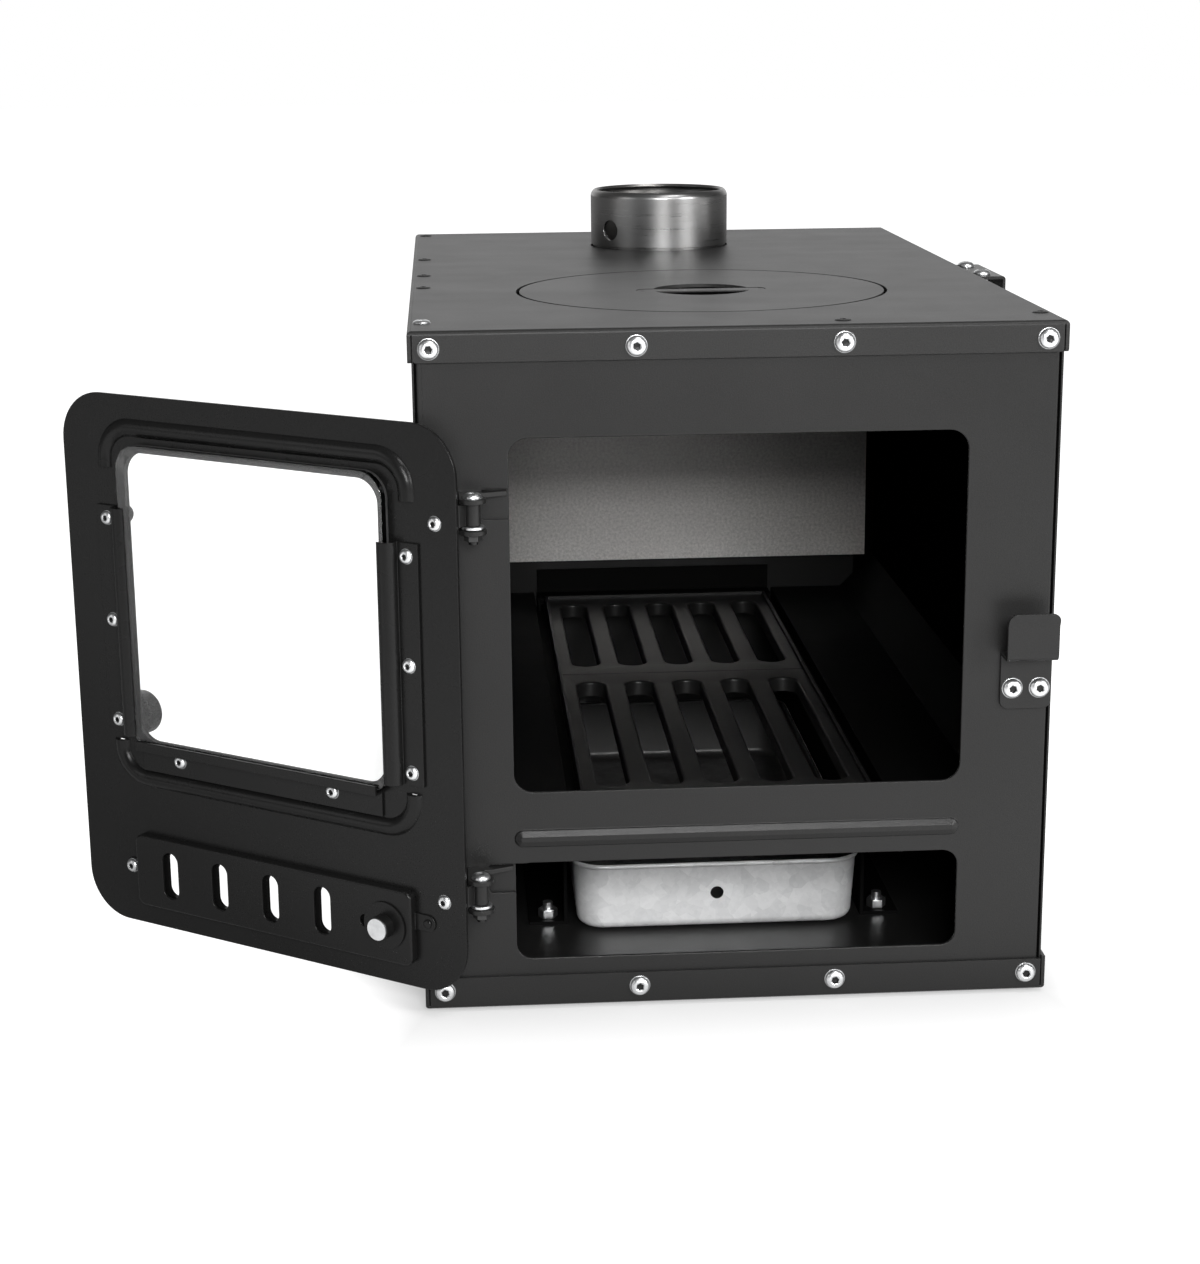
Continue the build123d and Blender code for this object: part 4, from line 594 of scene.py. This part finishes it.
def rolled_rim():
    """A round bead that runs along a rectangle with round corners."""
    sizes = ("Width", "Length", "Corner Radius", "Bead Radius")
    inputs = {name: "Float" for name in sizes}
    t = Tree("rolled_rim", {**inputs, "Place": "Vector", "Material": "Material"})
    outline = t.node(
        "GeometryNodeCurvePrimitiveQuadrilateral",
        {"Width": t.given["Width"], "Height": t.given["Length"]},
    )
    rounded = t.node(
        "GeometryNodeFilletCurve",
        {"Curve": outline.outputs["Curve"], "Count": 10, "Radius": t.given["Corner Radius"]},
        mode="POLY",
    )
    bead = t.node(
        "GeometryNodeCurvePrimitiveCircle", {"Resolution": 12, "Radius": t.given["Bead Radius"]}
    )
    tube = t.node(
        "GeometryNodeCurveToMesh",
        {"Curve": rounded.outputs["Curve"], "Profile Curve": bead.outputs["Curve"]},
    )
    placed = t.node(
        "GeometryNodeTransform",
        {"Geometry": tube.outputs["Mesh"], "Translation": t.given["Place"]},
    )
    return t.finished(t.shaded(placed.outputs["Geometry"], math.radians(60)), t.given["Material"])


SMOOTH = smooth_sheet()
SCREW = button_screw()
RIM = rolled_rim()


def grow(name, tree, settings, points=((0, 0, 0),), marks=None):
    """Runs a tree on loose points and keeps the plain mesh that it makes as a new piece."""
    seeds = bpy.data.meshes.new("seeds")
    seeds.from_pydata([tuple(p) for p in points], [], [])
    for label, values in (marks or {}).items():
        if isinstance(values[0], (int, float)):
            layer = seeds.attributes.new(label, "FLOAT", "POINT")
            layer.data.foreach_set("value", values)
        else:
            layer = seeds.attributes.new(label, "FLOAT_VECTOR", "POINT")
            layer.data.foreach_set("vector", [x for v in values for x in v])
    bed = bpy.data.objects.new("seeds", seeds)
    bpy.context.collection.objects.link(bed)
    modifier = bed.modifiers.new("grow", "NODES")
    modifier.node_group = tree
    for label, value in settings.items():
        set_input(modifier, label, value)
    evaluated = bed.evaluated_get(bpy.context.evaluated_depsgraph_get())
    mesh = bpy.data.meshes.new_from_object(evaluated)
    mesh.name = name
    bpy.data.objects.remove(bed)
    piece = bpy.data.objects.new(name, mesh)
    bpy.context.collection.objects.link(piece)
    return piece


# Carried-over nodes: finish, smoothing and softened edges, whose widths are in millimetres

EDGE_SOFTNESS = {
    "base_tray": 0.2,
    "side_panel_left": 0.3,
    "side_panel_right": 0.3,
    "front_panel": 0.35,
    "rear_panel": 0.3,
    "top_cap": 0.2,
    "hob_lid": 0.2,
    "lid_bar": 0.3,
    "flue_collar": 0.25,
    "latch_catch": 0.35,
    "hinge_bracket_lower": 0.3,
    "hinge_bracket_upper": 0.3,
    "hinge_leaves": 0.3,
    "hanger_bracket": 0.35,
    "door_panel": 0.3,
    "air_cover": 0.3,
    "glass_strip_hinge_side": 0.25,
    "glass_strip_latch_side": 0.25,
    "glass_strip_bottom": 0.25,
    "hearth_left": 0.3,
    "hearth_right": 0.3,
    "hearth_front": 0.3,
    "hearth_rear": 0.3,
    "grate_frame": 0.3,
    "rear_lining": 0.25,
    "latch_arm": 0.3,
    "body_nuts": 0.3,
    "door_nuts": 0.25,
    "hinge_nuts": 0.25,
    "hinge_washers": 0.2,
    "latch_pivot_nut": 0.3,
    "window_glass": 0.3,
}
SHARP_ANGLE = math.radians(32)

# The lid's ledge ring is painted near-black and glossless: painted shade in the gap round the lid
GAP_SHADE_STEEL = plain_mould("gap_shade_steel", 0.004, 0.9, gloss=0.0)
BLACK_NUTS = plain_mould("black_nut_steel", 0.015, 0.4)
OWN_FINISH = {
    "top_cap": TOP_PAINT,
    "grate_frame": GRATE_PAINT,
    "grate_front": GRATE_PAINT,
    "grate_rear": GRATE_PAINT,
    "hinge_nuts": BLACK_NUTS,
    "air_bush": FINISHES["door_paint"],
    "lid_ring": GAP_SHADE_STEEL,
    "side_panel_left": SIDE_PAINT,
    "side_panel_right": SIDE_PAINT,
}

slot_of = {s["node"]: s["material_slot"] for s in record["subparts"]}


def dress(name, piece):
    """Gives a carried-over node its finish, smooth shading and softened edges."""
    piece.data.materials.clear()
    piece.data.materials.append(OWN_FINISH.get(name, FINISHES[slot_of[name]]))
    smooth = piece.modifiers.new("smooth", "NODES")
    smooth.node_group = SMOOTH
    set_input(smooth, "Join Distance", JOIN_DISTANCE)
    set_input(smooth, "Sharp Angle", SHARP_ANGLE)
    if name in EDGE_SOFTNESS:
        flats = piece.modifiers.new("whole_flats", "DECIMATE")
        flats.decimate_type = "DISSOLVE"
        flats.angle_limit = math.radians(0.5)
        soft = piece.modifiers.new("soft_edges", "BEVEL")
        soft.width = EDGE_SOFTNESS[name] * MM
        soft.segments = 2
        soft.limit_method = "ANGLE"
        soft.angle_limit = SHARP_ANGLE
        soft.use_clamp_overlap = False
        even = piece.modifiers.new("even_shading", "WEIGHTED_NORMAL")
        even.keep_sharp = True


for node_name, node_piece in nodes.items():
    dress(node_name, node_piece)


# Screws

hinge = next(j for j in record["behaviour"]["joints"] if j["name"] == "door_hinge")
door_swing = Matrix.Rotation(math.radians(hinge["range_deg"][0]), 4, "Z")
DOOR_INWARD = door_swing @ Vector((0, 1, 0))


def on_door(u, depth, z):
    """A point on the open door: u from its hinge edge, depth inward from its inner face."""
    pin = Vector((hinge["pos_m"][0], hinge["pos_m"][1], 0))
    return pin + door_swing @ Vector((PIN_EDGE_GAP + u, PIN_FROM_INNER_FACE + depth, z))


def screws(name, body, head, shank, places, stands_for, finish="zinc_screws", paint=None):
    """A set of like screws; each place is a seat, the way the head looks, and a length."""
    seats, ways, lengths = zip(*places)
    settings = {
        "Head Radius": head[0],
        "Head Height": head[1],
        "Shank Radius": shank,
        "Seed": len(name),
        "Sharp Angle": math.radians(38),
        "Material": paint or FINISHES[finish],
    }
    piece = grow(name, SCREW, settings, seats, {"facing": ways, "length": lengths})
    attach(piece, body)
    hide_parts(stands_for)


def skirt_screw_places():
    outer = HALF_WIDTH - SKIRT_SCREW_INSET
    inner = SKIRT_SCREW_SPACING / 2
    for y, way in ((FRONT_Y, (0, -1, 0)), (BACK_Y, (0, 1, 0))):
        for z in (BASE_SCREW_RISE, TOP_Z - CAP_SCREW_DROP):
            for x in (-outer, -inner, inner, outer):
                sheets = 3 if abs(x) == outer else 2
                yield (x, y, z), way, sheets * SHEET + M6_NUT_HEIGHT + THREAD_END


def catch_screw_places():
    low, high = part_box("latch_catch")
    middle = (low.x + high.x) / 2
    length = 3 * SHEET + THREAD_END
    for side in (-0.5, 0.5):
        yield (middle + side * CATCH_SCREW_PITCH, FRONT_Y, CATCH_SCREW_Z), (0, -1, 0), length


def lining_bolt_places():
    y = BACK_Y - 3 * SHEET - LINING_STANDOFF
    length = LINING_STANDOFF + 2 * SHEET + M6_NUT_HEIGHT + THREAD_END
    for x in (-LINING_BOLT_X, LINING_BOLT_X):
        for z in LINING_BOLT_Z:
            yield (x, y, z), (0, -1, 0), length


def hanger_screw_places():
    low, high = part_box("hanger_bracket")
    upright = SHEET + M6_NUT_HEIGHT + THREAD_END
    for y in (low.y + HANGER_BOLT_INSET, high.y - HANGER_BOLT_INSET):
        yield (HALF_WIDTH, y, HANGER_SCREW_Z), (1, 0, 0), 2 * SHEET
        yield (HALF_WIDTH + HANGER_BOLT_REACH, y, high.z), (0, 0, 1), upright


def strip_screw_places():
    length = STRIP_THICKNESS + SHEET + M4_NUT_HEIGHT + THREAD_END
    sides = [
        (u, STRIP_MIDDLE_Z + i * STRIP_SCREW_PITCH)
        for u in (STRIP_SCREW_MARGIN, DOOR_WIDTH - STRIP_SCREW_MARGIN)
        for i in (-1, 0, 1)
    ]
    for u, z in sides + [(u, BOTTOM_STRIP_SCREW_Z) for u in BOTTOM_STRIP_SCREWS]:
        yield on_door(u, STRIP_THICKNESS, z), DOOR_INWARD, length


def leaf_screw_places():
    length = 2 * SHEET + M4_NUT_HEIGHT + THREAD_END
    for z in HINGE_Z:
        yield on_door(LEAF_SCREW_U, 0, z - LEAF_SCREW_DROP), DOOR_INWARD, length


def hinge_pin_places():
    pin = hinge["pos_m"]
    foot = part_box("hinge_pins")[0].z
    for z in HINGE_Z:
        yield (pin[0], pin[1], z + PIN_HEAD_RISE), (0, 0, 1), HINGE_Z[0] + PIN_HEAD_RISE - foot


def top_screw_places():
    edge = HALF_WIDTH - TOP_SCREW_INSET
    row = [(-edge, FRONT_Y + step) for step in TOP_SCREW_STEPS]
    front = (TOP_FRONT_SCREW_X, FRONT_Y + TOP_FRONT_SCREW_STEP)
    for x, y in row + [front, (edge, FRONT_Y + TOP_SCREW_STEPS[0])]:
        yield (x, y, TOP_Z), (0, 0, 1), SHEET


screws("skirt_button_screws", "stove", M6_HEAD, M6_SHANK, skirt_screw_places(), "skirt_screws")
screws("catch_button_screws", "stove", M6_HEAD, M6_SHANK, catch_screw_places(), "catch_screws")
screws("lining_button_bolts", "stove", M6_HEAD, M6_SHANK, lining_bolt_places(), "lining_bolts")
screws("hanger_button_screws", "stove", M6_HEAD, M6_SHANK, hanger_screw_places(), "hanger_screws")
screws("strip_button_screws", "door", M4_HEAD, M4_SHANK, strip_screw_places(), "strip_screws")
screws("leaf_button_screws", "door", M4_HEAD, M4_SHANK, leaf_screw_places(), "leaf_screws")
cover_length = COVER_SCREW[1] + SHEET + M4_NUT_HEIGHT + THREAD_END
cover_place = [(on_door(*COVER_SCREW), DOOR_INWARD, cover_length)]
screws("hinge_pin_screws", "stove", PIN_HEAD, PIN_SHANK, hinge_pin_places(), "hinge_pins")
screws("cover_button_screw", "door", M4_HEAD, M4_SHANK, cover_place, "air_cover_screw")

bright, *painted = top_screw_places()
screws("top_corner_screw", "stove", TOP_SCREW_HEAD, M4_SHANK, [bright], "top_screws")
screws(
    "top_painted_screws",
    "stove",
    PAINTED_HEAD,
    M4_SHANK,
    painted,
    "top_screws",
    "body_paint",
    TOP_PAINT,
)


# The ash pan's rolled rim


def pan_rim():
    low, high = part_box("ash_pan")
    settings = {
        "Width": high.x - low.x,
        "Length": high.y - low.y,
        "Corner Radius": RIM_CORNER,
        "Bead Radius": RIM_BEAD,
        "Place": (0, (low.y + high.y) / 2, high.z - RIM_BEAD * RIM_DEPTH),
        "Material": FINISHES["pan_steel"],
    }
    piece = grow("pan_rolled_rim", RIM, settings)
    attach(piece, "ash_pan")


pan_rim()


# Camera at the photograph's angle

CAMERA_PLACE = (-0.14682, -1.457775, 0.516976)
CAMERA_YAW, CAMERA_PITCH, CAMERA_ROLL = 0.062836, 0.253851, -0.0094815
CAMERA_LENS = 68.85


def camera_matrix(place, yaw, pitch, roll):
    forward = Vector(
        (math.sin(yaw) * math.cos(pitch), math.cos(yaw) * math.cos(pitch), -math.sin(pitch))
    )
    right = Vector((math.cos(yaw), -math.sin(yaw), 0))
    up = right.cross(forward)
    tilted = right * math.cos(roll) + up * math.sin(roll)
    upright = up * math.cos(roll) - right * math.sin(roll)
    turn = Matrix((tilted, upright, -forward)).transposed().to_4x4()
    return Matrix.Translation(place) @ turn


camera = bpy.data.objects.new("camera", bpy.data.cameras.new("camera"))
camera.data.lens = CAMERA_LENS
camera.data.sensor_width = 36
camera.data.clip_end = 50
camera.matrix_world = camera_matrix(CAMERA_PLACE, CAMERA_YAW, CAMERA_PITCH, CAMERA_ROLL)
bpy.context.collection.objects.link(camera)
bpy.context.scene.camera = camera


# Studio


def softbox(name, place, target, size, power, mirrored=True):
    lamp = bpy.data.lights.new(name, "AREA")
    lamp.shape = "RECTANGLE"
    lamp.size, lamp.size_y = size
    lamp.energy = power
    thing = bpy.data.objects.new(name, lamp)
    aim = (Vector(target) - Vector(place)).to_track_quat("-Z", "Y")
    thing.matrix_world = Matrix.Translation(place) @ aim.to_matrix().to_4x4()
    thing.visible_glossy = mirrored
    bpy.context.collection.objects.link(thing)


class Stage:
    """Helpers for the two shader trees of the studio: the room and its floor."""

    def __init__(self, tree):
        self.tree = tree
        self.ray = tree.nodes.new("ShaderNodeLightPath").outputs

    def link(self, value, socket):
        if isinstance(value, bpy.types.NodeSocket):
            self.tree.links.new(value, socket)
        else:
            socket.default_value = value

    def math(self, operation, a, b=0.0):
        made = self.tree.nodes.new("ShaderNodeMath")
        made.operation = operation
        for socket, value in zip(made.inputs, (a, b)):
            self.link(value, socket)
        return made.outputs[0]

    def choose(self, amount, off, on):
        """From off to on as amount goes from 0 to 1."""
        made = self.tree.nodes.new("ShaderNodeMix")
        for index, value in ((0, amount), (2, off), (3, on)):
            self.link(value, made.inputs[index])
        return made.outputs[0]

    def span(self, value, low, high):
        made = self.tree.nodes.new("ShaderNodeMapRange")
        for name, number in (("Value", value), ("From Min", low), ("From Max", high)):
            self.link(number, made.inputs[name])
        return made.outputs["Result"]

    def seen(self):
        """1 where the camera looks straight at it, or through clear glass only."""
        bounced = self.math("ADD", self.ray["Diffuse Depth"], self.ray["Glossy Depth"])
        straight = self.math("LESS_THAN", bounced, 0.5)
        through = self.math("MULTIPLY", self.ray["Is Transmission Ray"], straight)
        return self.math("MAXIMUM", self.ray["Is Camera Ray"], through)

    def coordinate(self, output, axis):
        place = self.tree.nodes.new("ShaderNodeTexCoord")
        parts = self.tree.nodes.new("ShaderNodeSeparateXYZ")
        self.tree.links.new(place.outputs[output], parts.inputs[0])
        return parts.outputs[axis]


ROOM_LIGHT = 0.3
ROOM_FRONT_SHEEN = 0.12
FLOOR_COLOUR = 0.42
FLOOR_GLOW = 0.4
FLOOR_HALF_WIDTH = 12.0
# How far from the stove the floor has turned white, beside it and before or behind it
WHITE_BESIDE = 0.05
WHITE_BEYOND = 0.16
# How bright the floor is in mirrors: before the stove, away from it, and elsewhere
FLOOR_SHEEN_NEAR = 1.5
FLOOR_SHEEN_FAR = 0.7
FLOOR_SHEEN_BEHIND = 0.1
SHEEN_START = (0.24, 0.36)
SHEEN_FADE = (0.7, 1.6)
# The mirrored floor is dimmer to the left and brighter to the right
POOL_SPAN = (-0.2, 0.6)
POOL_LEVELS = (0.6, 1.35)


def room():
    """White behind the stove, dimmer in front of it, and a low even light on it."""
    world = bpy.data.worlds.new("studio")
    bpy.context.scene.world = world
    world.use_nodes = True
    stage = Stage(world.node_tree)
    light = world.node_tree.nodes["Background"]
    light.inputs["Color"].default_value = (1, 1, 1, 1)
    behind = stage.span(stage.coordinate("Generated", 1), 0.6, 0.9)
    sheen = stage.choose(behind, ROOM_FRONT_SHEEN, 1.0)
    level = stage.choose(stage.ray["Is Glossy Ray"], ROOM_LIGHT, sheen)
    stage.link(stage.choose(stage.seen(), level, 1.0), light.inputs["Strength"])


def floor():
    """A pale floor that keeps the stove's shadow and fades into the white room."""
    mesh = bpy.data.meshes.new("floor")
    r = FLOOR_HALF_WIDTH
    mesh.from_pydata([(-r, -r, 0), (r, -r, 0), (r, r, 0), (-r, r, 0)], [], [(0, 1, 2, 3)])
    ground = bpy.data.objects.new("floor", mesh)
    bpy.context.collection.objects.link(ground)
    pale = bpy.data.materials.new("pale_floor")
    pale.use_nodes = True
    tree = pale.node_tree
    tree.nodes.remove(tree.nodes["Principled BSDF"])
    stage = Stage(tree)
    matte = tree.nodes.new("ShaderNodeBsdfDiffuse")
    matte.inputs["Color"].default_value = grey(FLOOR_COLOUR)
    glow = tree.nodes.new("ShaderNodeEmission")
    both = tree.nodes.new("ShaderNodeAddShader")
    x, y = stage.coordinate("Object", 0), stage.coordinate("Object", 1)
    beside = stage.math("SUBTRACT", stage.math("ABSOLUTE", x), HALF_WIDTH)
    beyond = stage.math("SUBTRACT", stage.math("ABSOLUTE", y), BACK_Y)
    white_beside = stage.span(beside, 0.0, WHITE_BESIDE)
    far = stage.math("MAXIMUM", white_beside, stage.span(beyond, 0.0, WHITE_BEYOND))
    bare = stage.choose(far, FLOOR_GLOW, 1.0)
    ahead = stage.math("MULTIPLY", y, -1.0)
    lit = stage.choose(stage.span(ahead, *SHEEN_FADE), FLOOR_SHEEN_NEAR, FLOOR_SHEEN_FAR)
    rightward = stage.choose(stage.span(x, *POOL_SPAN), *POOL_LEVELS)
    pool = stage.math("MULTIPLY", lit, rightward)
    sheen = stage.choose(stage.span(ahead, *SHEEN_START), FLOOR_SHEEN_BEHIND, pool)
    level = stage.choose(stage.ray["Is Glossy Ray"], 0.0, sheen)
    stage.link(stage.choose(stage.seen(), level, bare), glow.inputs["Strength"])
    tree.links.new(matte.outputs[0], both.inputs[0])
    tree.links.new(glow.outputs[0], both.inputs[1])
    tree.links.new(both.outputs[0], tree.nodes["Material Output"].inputs["Surface"])
    mesh.materials.append(pale)


room()
floor()
softbox("front_fill", (0.05, -2.2, 1.0), (0, 0, 0.2), (0.7, 0.5), 38)
softbox("right_key", (1.6, -1.6, 0.9), (0, 0, 0.2), (0.9, 0.8), 30)
softbox("high_back", (0.1, 0.6, 1.9), (0, 0, 0.3), (1.6, 1.2), 8, mirrored=False)
softbox("overhead", (0.5, -1.0, 1.9), (0, -0.2, 0.2), (0.8, 0.4), 12)
softbox("left_fill", (-1.9, -0.9, 0.9), (0, 0, 0.2), (0.9, 0.9), 4)
bpy.context.scene.view_settings.view_transform = "Standard"
